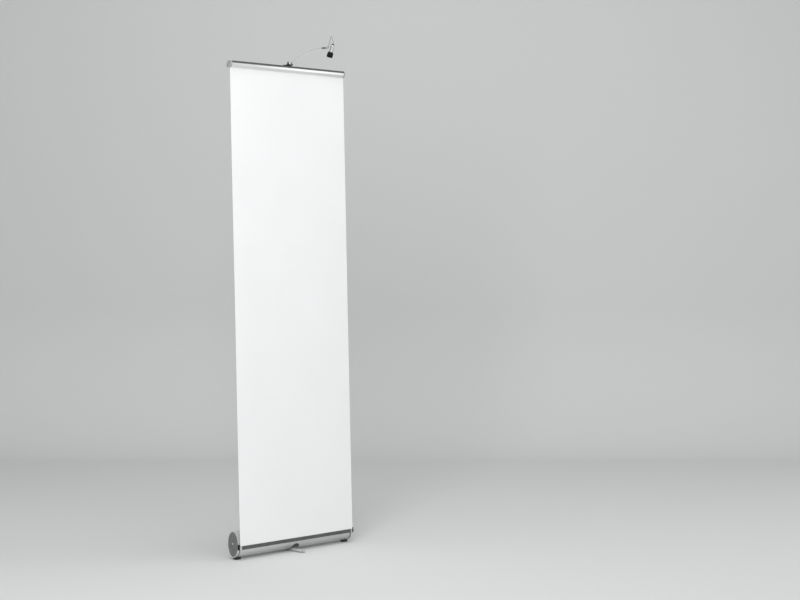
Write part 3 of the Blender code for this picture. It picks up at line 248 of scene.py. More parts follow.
class Workbench:
    """The modelling steps that every sub-assembly shares, each made with Blender's own operators."""

    @staticmethod
    def clear() -> None:
        """Leave edit mode and let go of everything."""
        if bpy.context.object is not None and bpy.context.object.mode != "OBJECT":
            bpy.ops.object.mode_set(mode="OBJECT")
        bpy.ops.object.select_all(action="DESELECT")

    @classmethod
    def take(cls, piece: bpy.types.Object) -> None:
        """Select one piece and make it the active one."""
        cls.clear()
        piece.select_set(True)
        bpy.context.view_layer.objects.active = piece

    @classmethod
    def edit(cls, piece: bpy.types.Object) -> None:
        """Take one piece into edit mode with all of it selected."""
        cls.take(piece)
        bpy.ops.object.mode_set(mode="EDIT")
        bpy.ops.mesh.select_all(action="SELECT")

    @classmethod
    def chain(cls, name: str, points: Sequence[Vector]) -> bpy.types.Object:
        """Draw a chain of edges from point to point, and stay in edit mode with it selected.

        Args:
            name: the piece's name.
            points: the chain's points.

        Returns:
            The new piece.
        """
        cls.clear()
        bpy.ops.mesh.primitive_plane_add(size=0.01, location=(0.0, 0.0, 0.0))
        piece = bpy.context.object
        piece.name = piece.data.name = name
        bpy.ops.object.mode_set(mode="EDIT")
        bpy.ops.mesh.select_mode(type="VERT")
        bpy.ops.mesh.select_all(action="SELECT")
        bpy.ops.mesh.merge(type="CENTER")
        bpy.ops.transform.translate(value=points[0])
        for before, after in zip(points, points[1:]):
            bpy.ops.mesh.extrude_vertices_move(TRANSFORM_OT_translate={"value": after - before})
        bpy.ops.mesh.select_all(action="SELECT")
        return piece

    @classmethod
    def close(cls, piece: bpy.types.Object) -> bpy.types.Object:
        """Merge a piece's double points, turn its faces outwards and leave edit mode."""
        bpy.ops.mesh.select_all(action="SELECT")
        bpy.ops.mesh.remove_doubles(threshold=MERGE)
        bpy.ops.mesh.normals_make_consistent(inside=False)
        cls.clear()
        return piece

    @classmethod
    def prism(cls, name: str, outline: Sequence[Pair], axis: Axis, low: float, high: float) -> bpy.types.Object:
        """Extrude an outline along an axis.

        Args:
            name: the piece's name.
            outline: the section's points, in the two other axes.
            axis: the direction of the extrusion.
            low: where it starts along the axis.
            high: where it ends.

        Returns:
            The closed piece.
        """
        piece = cls.chain(name, [axis.lay(pair, low) for pair in outline])
        bpy.ops.mesh.edge_face_add()
        bpy.ops.mesh.extrude_region_move(TRANSFORM_OT_translate={"value": axis.vector * (high - low)})
        return cls.close(piece)

    @classmethod
    def block(cls, name: str, low: Point, high: Point) -> bpy.types.Object:
        """Extrude a plain rectangle into a helper block between two corners."""
        outline = [(low[0], low[1]), (high[0], low[1]), (high[0], high[1]), (low[0], high[1])]
        return cls.prism(name, outline, Axis.Z, low[2], high[2])

    @classmethod
    def turned(cls, name: str, profile: Sequence[Pair], centre: Vector, axis: Vector, across: Vector,
               steps: int = 64) -> bpy.types.Object:
        """Spin a profile about an axis.

        Args:
            name: the piece's name.
            profile: (radius, height) points; a ring's profile ends on its first point.
            centre: the place of height 0 on the axis.
            axis: the axis as a unit vector.
            across: a unit vector square to the axis.
            steps: the steps in a whole turn.

        Returns:
            The closed piece.
        """
        piece = cls.chain(name, [centre + axis * height + across * radius for radius, height in profile])
        bpy.ops.mesh.spin(steps=steps, angle=math.tau, center=centre, axis=axis)
        return cls.close(piece)

    @classmethod
    def ring(cls, name: str, inner: float, outer: float, low: float, high: float, centre: Vector,
             axis: Axis = Axis.Z, lip: float = 0.0002, steps: int = 64) -> bpy.types.Object:
        """Spin a tube with eased edges.

        Args:
            name: the piece's name.
            inner: the bore's radius.
            outer: the outside radius.
            low: where the tube starts along its axis, from the centre.
            high: where it ends.
            centre: a point on the axis.
            axis: the tube's axis.
            lip: the size of the eased edges.
            steps: the steps in a whole turn.

        Returns:
            The closed piece.
        """
        profile = [(inner, low + lip), (inner + lip, low), (outer - lip, low), (outer, low + lip),
                   (outer, high - lip), (outer - lip, high), (inner + lip, high), (inner, high - lip),
                   (inner, low + lip)]
        return cls.turned(name, profile, centre, axis.vector, axis.across, steps)

    @classmethod
    def rod(cls, name: str, radius: float, low: float, high: float, centre: Vector,
            axis: Axis = Axis.Z, steps: int = 32) -> bpy.types.Object:
        """Spin a helper rod that cuts a bore or joins two pieces."""
        profile = [(0.0, low), (radius, low), (radius, high), (0.0, high)]
        return cls.turned(name, profile, centre, axis.vector, axis.across, steps)

    @classmethod
    def bar(cls, name: str, route: Sequence[Vector], radius: float, sides: int = 4) -> bpy.types.Object:
        """Run a round bar along a route.

        Args:
            name: the piece's name.
            route: the bar's centre line.
            radius: its radius.
            sides: how finely its section is rounded.

        Returns:
            The closed piece.
        """
        piece = cls.chain(name, route)
        cls.take(piece)
        bpy.ops.object.convert(target="CURVE")
        piece = bpy.context.object
        piece.data.bevel_depth = radius
        piece.data.bevel_resolution = sides
        piece.data.use_fill_caps = True
        bpy.ops.object.convert(target="MESH")
        piece = bpy.context.object
        piece.name = piece.data.name = name
        cls.edit(piece)
        return cls.close(piece)

    @classmethod
    def apply(cls, piece: bpy.types.Object) -> None:
        """Apply a piece's modifiers in their order."""
        cls.take(piece)
        for modifier in list(piece.modifiers):
            bpy.ops.object.modifier_apply(modifier=modifier.name)
        cls.clear()

    @classmethod
    def carve(cls, piece: bpy.types.Object, *helpers: bpy.types.Object, how: str = "DIFFERENCE") -> None:
        """Cut, join or trim a piece with helper shapes, and remove the helpers.

        Args:
            piece: the piece to shape.
            helpers: the shapes that act on it.
            how: DIFFERENCE, UNION or INTERSECT.
        """
        for helper in helpers:
            modifier = piece.modifiers.new("carved", "BOOLEAN")
            modifier.operation = how
            modifier.solver = "EXACT"
            modifier.object = helper
            cls.apply(piece)
            bpy.data.objects.remove(helper, do_unlink=True)
            cls.edit(piece)
            cls.close(piece)

    @classmethod
    def soften(cls, piece: bpy.types.Object, width: float, segments: int = 2, angle: float = 35.0) -> None:
        """Round a piece's sharp edges with a bevel.

        Args:
            piece: the piece to shape.
            width: the bevel's width.
            segments: the steps in it.
            angle: the least angle of an edge that is rounded, in degrees.
        """
        cls.edit(piece)
        bpy.ops.mesh.remove_doubles(threshold=MERGE * 6)
        bpy.ops.mesh.dissolve_degenerate(threshold=MERGE * 4)
        cls.close(piece)
        modifier = piece.modifiers.new("softened", "BEVEL")
        modifier.width = width
        modifier.segments = segments
        modifier.limit_method = "ANGLE"
        modifier.angle_limit = math.radians(angle)
        modifier.use_clamp_overlap = True
        cls.apply(piece)
        cls.edit(piece)
        cls.close(piece)

    @staticmethod
    def pick(piece: bpy.types.Object, test: Callable[[Vector, Vector], bool]) -> int:
        """Select the faces whose centre and normal pass a test, in edit mode.

        Args:
            piece: the piece in edit mode.
            test: takes a face's centre and normal, and says whether it is wanted.

        Returns:
            How many faces are selected.
        """
        bpy.ops.mesh.select_mode(type="FACE")
        bpy.ops.mesh.select_all(action="DESELECT")
        bpy.ops.object.mode_set(mode="OBJECT")
        chosen = [face for face in piece.data.polygons if test(face.center, face.normal)]
        for face in chosen:
            face.select = True
        bpy.ops.object.mode_set(mode="EDIT")
        return len(chosen)

    @classmethod
    def sink(cls, piece: bpy.types.Object, test: Callable[[Vector, Vector], bool], border: float,
             shift: Vector) -> None:
        """Inset the faces that pass a test and move what is inside the border.

        Args:
            piece: the piece to shape.
            test: says which faces are wanted, by centre and normal.
            border: the width of the border that stays.
            shift: how the rest moves.
        """
        cls.edit(piece)
        if cls.pick(piece, test):
            bpy.ops.mesh.inset(thickness=border, use_even_offset=True)
            bpy.ops.mesh.extrude_region_move(TRANSFORM_OT_translate={"value": shift})
        cls.close(piece)


class NodeDesk:
    """Places and joins the nodes of one tree."""

    def __init__(self, tree: bpy.types.NodeTree) -> None:
        """Start work on a tree.

        Args:
            tree: the material's or the group's tree.
        """
        self.tree = tree

    def feed(self, node: bpy.types.Node, socket: str | int, value: object) -> None:
        """Join a socket to an output, or set its value.

        Args:
            node: the node.
            socket: the input's name or place.
            value: an output socket, or the value itself.
        """
        if isinstance(value, bpy.types.NodeSocket):
            self.tree.links.new(value, node.inputs[socket])
        else:
            node.inputs[socket].default_value = value

    def add(self, kind: str, sockets: dict[str | int, object] | None = None, **settings: object) -> bpy.types.Node:
        """Add a node.

        Args:
            kind: the node's type without its prefix.
            sockets: its inputs' values or links.
            settings: its own settings.

        Returns:
            The node.
        """
        node = self.tree.nodes.new("ShaderNode" + kind)
        for key, value in settings.items():
            setattr(node, key, value)
        for socket, value in (sockets or {}).items():
            self.feed(node, socket, value)
        return node

    def maths(self, operation: str, first: object, second: object = 0.0, clamp: bool = False) -> bpy.types.NodeSocket:
        """Return the result of one sum.

        Args:
            operation: the Math node's operation.
            first: its first value or link.
            second: its second value or link.
            clamp: keep the result between 0 and 1.

        Returns:
            The result's socket.
        """
        return self.add("Math", {0: first, 1: second}, operation=operation, use_clamp=clamp).outputs[0]

    def spread(self, value: object, from_low: float, from_high: float, to_low: float = 0.0,
               to_high: float = 1.0) -> bpy.types.NodeSocket:
        """Return a value moved from one range to another, and kept inside it."""
        sockets = {"Value": value, "From Min": from_low, "From Max": from_high, "To Min": to_low, "To Max": to_high}
        return self.add("MapRange", sockets).outputs["Result"]

    def blend(self, share: object, first: object, second: object) -> bpy.types.NodeSocket:
        """Return a mix of two colours.

        Args:
            share: how much of the second colour, from 0 to 1.
            first: the first colour or link.
            second: the second colour or link.

        Returns:
            The mixed colour's socket.
        """
        node = self.add("Mix", data_type="RGBA")
        self.feed(node, 0, share)
        for place, value in ((6, first), (7, second)):
            self.feed(node, place, value if isinstance(value, bpy.types.NodeSocket) else (*value[:3], 1.0))
        return node.outputs[2]

    def noise(self, where: object, scale: object, detail: float = 2.0, roughness: float = 0.5) -> bpy.types.NodeSocket:
        """Return a noise value at a place.

        Args:
            where: the coordinates' socket.
            scale: the noise's scale.
            detail: its octaves.
            roughness: the strength of the finer ones.

        Returns:
            The noise's socket, about 0.5 on average.
        """
        sockets = {"Vector": where, "Scale": scale, "Detail": detail, "Roughness": roughness}
        return self.add("TexNoise", sockets, noise_dimensions="3D").outputs[0]

    def group(self, tree: bpy.types.NodeTree, **sockets: object) -> bpy.types.Node:
        """Place a shared group with its own values."""
        node = self.tree.nodes.new("ShaderNodeGroup")
        node.node_tree = tree
        for socket, value in sockets.items():
            self.feed(node, socket, value)
        return node


class EffectShelf:
    """The surface effects that several finishes share, each built once as a node group."""

    @staticmethod
    def begin(name: str, inputs: dict[str, tuple[str, object]],
              outputs: Sequence[str]) -> tuple[NodeDesk, bpy.types.Node, bpy.types.Node] | None:
        """Start a group with its named sockets.

        Args:
            name: the group's name.
            inputs: each input's socket type and first value.
            outputs: the names of the outputs, all values.

        Returns:
            The group's desk, its input node and its output node, or None if the group is there already.
        """
        if name in bpy.data.node_groups:
            return None
        tree = bpy.data.node_groups.new(name, "ShaderNodeTree")
        for label, (kind, value) in inputs.items():
            socket = tree.interface.new_socket(name=label, in_out="INPUT", socket_type="NodeSocket" + kind)
            if value is not None:
                socket.default_value = value
        for label in outputs:
            tree.interface.new_socket(name=label, in_out="OUTPUT", socket_type="NodeSocketFloat")
        return NodeDesk(tree), tree.nodes.new("NodeGroupInput"), tree.nodes.new("NodeGroupOutput")

    @classmethod
    def grain(cls) -> bpy.types.NodeTree:
        """Return the fine pebbled grain of moulded plastic, with broad patches as its mask."""
        made = cls.begin("moulded_grain", {"Where": ("Vector", None), "Pebbles": ("Float", 900.0)},
                         ("Height", "Patches"))
        if made:
            desk, start, end = made
            cells = desk.add("TexVoronoi", {"Vector": start.outputs["Where"], "Scale": start.outputs["Pebbles"]},
                             feature="SMOOTH_F1")
            fine = desk.noise(start.outputs["Where"], start.outputs["Pebbles"], 3.0)
            height = desk.maths("ADD", desk.maths("MULTIPLY", cells.outputs["Distance"], 0.6),
                                desk.maths("MULTIPLY", fine, 0.4))
            broad = desk.noise(start.outputs["Where"], desk.maths("MULTIPLY", start.outputs["Pebbles"], 0.03), 3.0)
            desk.feed(end, "Height", height)
            desk.feed(end, "Patches", desk.spread(broad, 0.35, 0.65))
        return bpy.data.node_groups["moulded_grain"]

    @classmethod
    def lines(cls) -> bpy.types.NodeTree:
        """Return the long fine lines that an extruder or a brush leaves, with slow streaks as its mask."""
        made = cls.begin("drawn_lines", {"Where": ("Vector", None), "Stretch": ("Vector", (8.0, 900.0, 900.0))},
                         ("Height", "Streaks"))
        if made:
            desk, start, end = made
            pulled = desk.add("VectorMath", {0: start.outputs["Where"], 1: start.outputs["Stretch"]},
                              operation="MULTIPLY").outputs[0]
            slow = desk.add("VectorMath", {0: pulled, 1: (0.25, 0.12, 0.12)}, operation="MULTIPLY").outputs[0]
            desk.feed(end, "Height", desk.noise(pulled, 1.0, 4.0, 0.65))
            desk.feed(end, "Streaks", desk.spread(desk.noise(slow, 1.0, 3.0), 0.3, 0.7))
        return bpy.data.node_groups["drawn_lines"]

    @classmethod
    def rub(cls) -> bpy.types.NodeTree:
        """Return where handling has rubbed a piece's edges, broken up by a noise."""
        made = cls.begin("rubbed_edges", {"Where": ("Vector", None), "Reach": ("Float", 0.0006)}, ("Rubbed",))
        if made:
            desk, start, end = made
            eased = desk.add("Bevel", {"Radius": start.outputs["Reach"]}, samples=4).outputs["Normal"]
            true = desk.add("NewGeometry").outputs["Normal"]
            agree = desk.add("VectorMath", {0: eased, 1: true}, operation="DOT_PRODUCT").outputs["Value"]
            edge = desk.spread(agree, 0.995, 0.90)
            broken = desk.spread(desk.noise(start.outputs["Where"], 420.0, 4.0, 0.7), 0.42, 0.62)
            desk.feed(end, "Rubbed", desk.maths("MULTIPLY", edge, broken, clamp=True))
        return bpy.data.node_groups["rubbed_edges"]

    @classmethod
    def dust(cls) -> bpy.types.NodeTree:
        """Return where dust lies: on what faces up, in soft patches."""
        made = cls.begin("settled_dust", {"Where": ("Vector", None), "Amount": ("Float", 0.3)}, ("Dusty",))
        if made:
            desk, start, end = made
            facing = desk.add("SeparateXYZ", {0: desk.add("NewGeometry").outputs["Normal"]}).outputs["Z"]
            upward = desk.spread(facing, 0.25, 0.95)
            patches = desk.spread(desk.noise(start.outputs["Where"], 60.0, 5.0, 0.6), 0.35, 0.75)
            lying = desk.maths("MULTIPLY", upward, patches)
            desk.feed(end, "Dusty", desk.maths("MULTIPLY", lying, start.outputs["Amount"], clamp=True))
        return bpy.data.node_groups["settled_dust"]

    @classmethod
    def smudge(cls) -> bpy.types.NodeTree:
        """Return faint finger marks and hairline scratches."""
        made = cls.begin("finger_marks", {"Where": ("Vector", None), "Size": ("Float", 90.0)},
                         ("Marks", "Scratches"))
        if made:
            desk, start, end = made
            marks = desk.spread(desk.noise(start.outputs["Where"], start.outputs["Size"], 5.0, 0.6), 0.45, 0.7)
            turned = desk.add("Mapping", {"Vector": start.outputs["Where"], "Rotation": (0.4, 0.7, 0.2),
                                          "Scale": (60.0, 2400.0, 2400.0)}).outputs[0]
            hair = desk.spread(desk.noise(turned, 1.0, 1.0), 0.66, 0.72)
            desk.feed(end, "Marks", marks)
            desk.feed(end, "Scratches", hair)
        return bpy.data.node_groups["finger_marks"]

    @classmethod
    def weave(cls) -> bpy.types.NodeTree:
        """Return the over-and-under of a plain woven film, read from coordinates in metres."""
        made = cls.begin("plain_weave", {"Where": ("Vector", None), "Threads": ("Float", 1400.0)},
                         ("Height", "Thread"))
        if made:
            desk, start, end = made
            parts = desk.add("SeparateXYZ", {0: start.outputs["Where"]})
            waves = []
            for label in ("X", "Y"):
                turn = desk.maths("MULTIPLY", parts.outputs[label], start.outputs["Threads"])
                waves.append(desk.maths("SINE", desk.maths("MULTIPLY", turn, math.tau)))
            crossed = desk.maths("MULTIPLY", waves[0], waves[1])
            desk.feed(end, "Height", desk.spread(crossed, -1.0, 1.0))
            desk.feed(end, "Thread", desk.spread(desk.noise(start.outputs["Where"], 700.0, 3.0), 0.3, 0.7))
        return bpy.data.node_groups["plain_weave"]


@dataclass(frozen=True)
class Finish:
    """A finish: its name, the record's slot that it belongs to, its colour and its gloss."""

    name: str
    slot: str
    colour: Colour
    roughness: float
    metallic: float = 0.0
    gloss: float = 0.5

    def material(self) -> bpy.types.Material:
        """Return the finish's material, made on its first use."""
        found = bpy.data.materials.get(self.name)
        if found is not None:
            return found
        material = bpy.data.materials.new(self.name)
        material.use_nodes = True
        desk = NodeDesk(material.node_tree)
        shader = material.node_tree.nodes["Principled BSDF"]
        shader.inputs["Base Color"].default_value = (*self.colour, 1.0)
        shader.inputs["Roughness"].default_value = self.roughness
        shader.inputs["Metallic"].default_value = self.metallic
        shader.inputs["Specular IOR Level"].default_value = self.gloss
        where = desk.add("TexCoord").outputs["Object"]
        self.dress(desk, shader, where)
        return material

    def dress(self, desk: NodeDesk, shader: bpy.types.Node, where: bpy.types.NodeSocket) -> None:
        """Add the finish's own nodes.

        Args:
            desk: the material's desk.
            shader: its Principled shader.
            where: the object's coordinates.
        """
        raise NotImplementedError

    def shade(self, share: float) -> Colour:
        """Return the finish's colour made lighter or darker by a share."""
        return tuple(min(1.0, part * share) for part in self.colour)

    @staticmethod
    def bump(desk: NodeDesk, shader: bpy.types.Node, height: bpy.types.NodeSocket, depth: float,
             strength: float = 1.0) -> None:
        """Give the surface a relief.

        Args:
            desk: the material's desk.
            shader: its shader.
            height: the relief, from 0 to 1.
            depth: the depth of that range, in metres.
            strength: how strongly it tells.
        """
        node = desk.add("Bump", {"Strength": strength, "Distance": depth, "Height": height})
        desk.feed(shader, "Normal", node.outputs[0])


@dataclass(frozen=True)
class DrawnMetal(Finish):
    """Satin metal with long drawn or brushed lines."""

    stretch: Point = (8.0, 900.0, 900.0)
    dust: float = 0.25

    def dress(self, desk: NodeDesk, shader: bpy.types.Node, where: bpy.types.NodeSocket) -> None:
        """Add the lines, slow streaks, bright rubbed edges and a little dust."""
        lines = desk.group(EffectShelf.lines(), Where=where, Stretch=self.stretch)
        rubbed = desk.group(EffectShelf.rub(), Where=where, Reach=0.0005).outputs["Rubbed"]
        dusty = desk.group(EffectShelf.dust(), Where=where, Amount=self.dust).outputs["Dusty"]
        tone = desk.blend(lines.outputs["Streaks"], self.shade(0.93), self.shade(1.04))
        tone = desk.blend(rubbed, tone, self.shade(1.15))
        tone = desk.blend(dusty, tone, (0.55, 0.54, 0.52))
        desk.feed(shader, "Base Color", tone)
        rough = desk.spread(lines.outputs["Height"], 0.3, 0.7, self.roughness - 0.07, self.roughness + 0.08)
        desk.feed(shader, "Roughness", desk.maths("ADD", rough, desk.maths("MULTIPLY", dusty, 0.3), clamp=True))
        desk.feed(shader, "Metallic", desk.spread(dusty, 0.0, 1.0, self.metallic, self.metallic * 0.4))
        self.bump(desk, shader, lines.outputs["Height"], 0.00003, 0.5)


@dataclass(frozen=True)
class MouldedPlastic(Finish):
    """Moulded plastic with a pebbled grain, paler rubbed edges and dust on what faces up."""

    pebbles: float = 1100.0
    edge: Colour = (0.20, 0.20, 0.20)
    dust: float = 0.30

    def dress(self, desk: NodeDesk, shader: bpy.types.Node, where: bpy.types.NodeSocket) -> None:
        """Add the grain, the patches, the edges and the dust."""
        grain = desk.group(EffectShelf.grain(), Where=where, Pebbles=self.pebbles)
        rubbed = desk.group(EffectShelf.rub(), Where=where, Reach=0.0006).outputs["Rubbed"]
        dusty = desk.group(EffectShelf.dust(), Where=where, Amount=self.dust).outputs["Dusty"]
        tone = desk.blend(grain.outputs["Patches"], self.shade(0.85), self.shade(1.18))
        tone = desk.blend(desk.maths("MULTIPLY", rubbed, 0.6), tone, self.edge)
        tone = desk.blend(dusty, tone, (0.36, 0.35, 0.33))
        desk.feed(shader, "Base Color", tone)
        rough = desk.spread(grain.outputs["Height"], 0.2, 0.7, self.roughness - 0.08, self.roughness + 0.10)
        rough = desk.maths("SUBTRACT", rough, desk.maths("MULTIPLY", rubbed, 0.15))
        desk.feed(shader, "Roughness", desk.maths("ADD", rough, desk.maths("MULTIPLY", dusty, 0.3), clamp=True))
        self.bump(desk, shader, grain.outputs["Height"], 0.00008, 0.6)


@dataclass(frozen=True)
class SprayedPaint(Finish):
    """Sprayed paint with a faint orange peel, worn to the metal at its edges, with painted shade on its upright sides.
    """

    peel: float = 500.0
    bare: Colour = (0.55, 0.55, 0.56)
    dust: float = 0.30
    sides: float = 1.0

    def dress(self, desk: NodeDesk, shader: bpy.types.Node, where: bpy.types.NodeSocket) -> None:
        """Add the peel, scuffs, worn edges, dust and the painted shade on upright sides."""
        peel = desk.noise(where, self.peel, 2.0)
        marks = desk.group(EffectShelf.smudge(), Where=where, Size=60.0)
        rubbed = desk.group(EffectShelf.rub(), Where=where, Reach=0.0007).outputs["Rubbed"]
        dusty = desk.group(EffectShelf.dust(), Where=where, Amount=self.dust).outputs["Dusty"]
        tone = desk.blend(marks.outputs["Marks"], self.colour, self.shade(0.90))
        tone = desk.blend(desk.maths("MULTIPLY", marks.outputs["Scratches"], 0.5), tone, self.shade(1.25))
        tone = desk.blend(desk.maths("MULTIPLY", rubbed, 0.8), tone, self.bare)
        tone = desk.blend(dusty, tone, (0.50, 0.49, 0.47))
        # painted shade: where sides is below 1, faces that don't face up are darkened towards shade(sides), as if lit
        # from above
        if self.sides < 1.0:
            facing = desk.add("SeparateXYZ", {0: desk.add("NewGeometry").outputs["Normal"]}).outputs["Z"]
            tone = desk.blend(desk.spread(facing, 0.9, 0.4), tone, self.shade(self.sides))
        desk.feed(shader, "Base Color", tone)
        worn = desk.maths("MULTIPLY", rubbed, 0.8)
        desk.feed(shader, "Metallic", desk.maths("MAXIMUM", worn, self.metallic))
        rough = desk.spread(marks.outputs["Marks"], 0.0, 1.0, self.roughness, self.roughness + 0.12)
        desk.feed(shader, "Roughness", desk.maths("ADD", rough, desk.maths("MULTIPLY", dusty, 0.25), clamp=True))
        self.bump(desk, shader, peel, 0.00006, 0.5)


@dataclass(frozen=True)
class BrightMetal(Finish):
    """Polished or plated metal with finger marks and hairline scratches."""

    marks: float = 90.0
    grime: Colour = (0.10, 0.10, 0.10)

    def dress(self, desk: NodeDesk, shader: bpy.types.Node, where: bpy.types.NodeSocket) -> None:
        """Add the marks, the scratches and slight grime."""
        marks = desk.group(EffectShelf.smudge(), Where=where, Size=self.marks)
        grime = desk.spread(desk.noise(where, self.marks * 2.5, 4.0), 0.62, 0.8, 0.0, 0.35)
        tone = desk.blend(grime, self.colour, self.grime)
        tone = desk.blend(desk.maths("MULTIPLY", marks.outputs["Marks"], 0.3), tone, self.shade(0.88))
        desk.feed(shader, "Base Color", tone)
        rough = desk.spread(marks.outputs["Marks"], 0.0, 1.0, self.roughness, self.roughness + 0.10)
        desk.feed(shader, "Roughness", desk.maths("ADD", rough, desk.maths("MULTIPLY", grime, 0.4), clamp=True))
        self.bump(desk, shader, marks.outputs["Scratches"], 0.00001, 0.3)


@dataclass(frozen=True)
class BannerFilm(Finish):
    """Smooth white banner film on a fine woven base."""

    threads: float = 1400.0

    def dress(self, desk: NodeDesk, shader: bpy.types.Node, where: bpy.types.NodeSocket) -> None:
        """Add the weave, slow changes of white, handling marks and a soft sheen."""
        cloth = desk.add("UVMap", uv_map="film").outputs["UV"]
        weave = desk.group(EffectShelf.weave(), Where=cloth, Threads=self.threads)
        slow = desk.spread(desk.noise(cloth, 3.0, 3.0), 0.35, 0.65)
        tone = desk.blend(slow, self.shade(0.985), self.shade(1.01))
        tone = desk.blend(desk.maths("MULTIPLY", weave.outputs["Thread"], 0.4), tone, self.shade(0.97))
        desk.feed(shader, "Base Color", tone)
        rough = desk.spread(weave.outputs["Thread"], 0.0, 1.0, self.roughness - 0.06, self.roughness + 0.08)
        desk.feed(shader, "Roughness", rough)
        shader.inputs["Sheen Weight"].default_value = 0.05
        self.bump(desk, shader, weave.outputs["Height"], 0.00003, 0.4)


@dataclass(frozen=True)
class WovenRoll(Finish):
    """The banner film where it is wound or led out of sight, patterned in the object's own space."""

    def dress(self, desk: NodeDesk, shader: bpy.types.Node, where: bpy.types.NodeSocket) -> None:
        """Add the weave across the roll and the faint lines of its wraps."""
        weave = desk.group(EffectShelf.weave(), Where=where, Threads=1400.0)
        wraps = desk.group(EffectShelf.lines(), Where=where, Stretch=(6.0, 1400.0, 1400.0))
        desk.feed(shader, "Base Color", desk.blend(wraps.outputs["Streaks"], self.shade(0.94), self.shade(1.0)))
        rough = desk.spread(weave.outputs["Thread"], 0.0, 1.0, self.roughness - 0.05, self.roughness + 0.05)
        desk.feed(shader, "Roughness", rough)
        self.bump(desk, shader, wraps.outputs["Height"], 0.00005, 0.5)


@dataclass(frozen=True)
class FrostedPlastic(Finish):
    """A milky diffuser with a dimpled face."""

    def dress(self, desk: NodeDesk, shader: bpy.types.Node, where: bpy.types.NodeSocket) -> None:
        """Add the dimples and a slight cloudiness."""
        cells = desk.add("TexVoronoi", {"Vector": where, "Scale": 900.0}, feature="SMOOTH_F1").outputs["Distance"]
        cloud = desk.spread(desk.noise(where, 300.0, 3.0), 0.3, 0.7)
        desk.feed(shader, "Base Color", desk.blend(cloud, self.shade(0.94), self.shade(1.04)))
        desk.feed(shader, "Roughness", desk.spread(cloud, 0.0, 1.0, self.roughness - 0.08, self.roughness + 0.08))
        shader.inputs["Transmission Weight"].default_value = 0.35
        shader.inputs["Subsurface Weight"].default_value = 0.2
        shader.inputs["Subsurface Radius"].default_value = (0.002, 0.002, 0.002)
        self.bump(desk, shader, cells, 0.0001, 0.6)


SILVER = (0.77, 0.775, 0.78)
ALONG_X = (8.0, 900.0, 900.0)
ALONG_Z = (900.0, 900.0, 8.0)

# SHELL_SILVER is a darker copy of the satin silver: painted shade for the case's front skirt and curved-under bottom,
# also used on the roller tube
SHELL_SILVER = DrawnMetal("satin_silver_shell", "satin_aluminium", (0.66, 0.665, 0.67), 0.38, 0.75)
RAIL_SILVER = DrawnMetal("satin_silver_rail", "satin_aluminium", (0.83, 0.835, 0.84), 0.40, 0.65)
TUBE_SILVER = DrawnMetal("satin_silver_tube", "satin_aluminium", SILVER, 0.30, 0.90, stretch=ALONG_Z)
RIM_SILVER = DrawnMetal("satin_silver_rim", "satin_aluminium", SILVER, 0.34, 0.80, stretch=(900.0, 60.0, 60.0))
ARM_SILVER = DrawnMetal("satin_silver_arm", "satin_aluminium", (0.80, 0.805, 0.81), 0.26, 0.90,
                        stretch=(700.0, 30.0, 700.0))
END_GREY = MouldedPlastic("grained_dark_grey", "end_face", (0.135, 0.143, 0.140), 0.52, edge=(0.30, 0.30, 0.30))
TRIM_GREY = MouldedPlastic("grained_pale_grey", "rail_trim", (0.36, 0.37, 0.37), 0.50, edge=(0.50, 0.50, 0.50))
# dark grey of the slot's guide strip and the rail's top strip: partly their own dark plastic, partly painted shade of
# the slot and of the rail's top edge
DARK_STRIP_AND_SHADE = MouldedPlastic("dark_strip_and_painted_shade", "black_plastic", (0.075, 0.078, 0.078), 0.50, edge=(0.20, 0.20, 0.20))
BLACK = MouldedPlastic("grained_black", "black_plastic", (0.008, 0.008, 0.009), 0.56, gloss=0.25,
                       edge=(0.05, 0.05, 0.05), dust=0.08)
BRACKET_GREY = MouldedPlastic("grained_bracket_grey", "black_plastic", (0.115, 0.118, 0.118), 0.55,
                              edge=(0.25, 0.25, 0.25), dust=0.15)
RUBBER = MouldedPlastic("matt_rubber", "rubber", (0.028, 0.028, 0.029), 0.78, pebbles=700.0,
                        edge=(0.08, 0.08, 0.08), dust=0.15)
SLEEVE_GREY = MouldedPlastic("soft_grey_sleeve", "end_face", (0.10, 0.10, 0.10), 0.6, pebbles=900.0)
LEAD_GREY = MouldedPlastic("grey_sheathed_lead", "lead_grey", (0.16, 0.16, 0.16), 0.55, pebbles=1600.0, dust=0.1)
NYLON = MouldedPlastic("natural_nylon", "nylon", (0.72, 0.71, 0.67), 0.45, pebbles=1400.0,
                       edge=(0.80, 0.79, 0.76), dust=0.1)
# sides=0.42 paints shade on the foot's upright sides, darker than its top
FOOT_PAINT = SprayedPaint("silver_sprayed_foot", "foot_metal", (0.66, 0.67, 0.68), 0.42, sides=0.42)
SHADE_PAINT = SprayedPaint("black_sprayed_shade", "shade_black", (0.006, 0.006, 0.0065), 0.50, bare=(0.12, 0.12, 0.12),
                           dust=0.03, gloss=0.15)
STEEL = BrightMetal("bright_plated_steel", "bright_steel", (0.78, 0.78, 0.77), 0.22, 1.0)
SPRING = BrightMetal("oiled_spring_wire", "spring_steel", (0.24, 0.24, 0.25), 0.34, 1.0, marks=240.0)
CHROME = BrightMetal("polished_chrome", "lamp_chrome", (0.86, 0.87, 0.88), 0.10, 1.0, marks=120.0)
FILM = BannerFilm("white_banner_film", "banner_white", (0.80, 0.805, 0.808), 0.58, gloss=0.35)
ROLL_FILM = WovenRoll("wound_banner_film", "banner_white", (0.79, 0.795, 0.80), 0.60)
LENS = FrostedPlastic("frosted_diffuser", "frosted_lens", (0.85, 0.86, 0.84), 0.38)


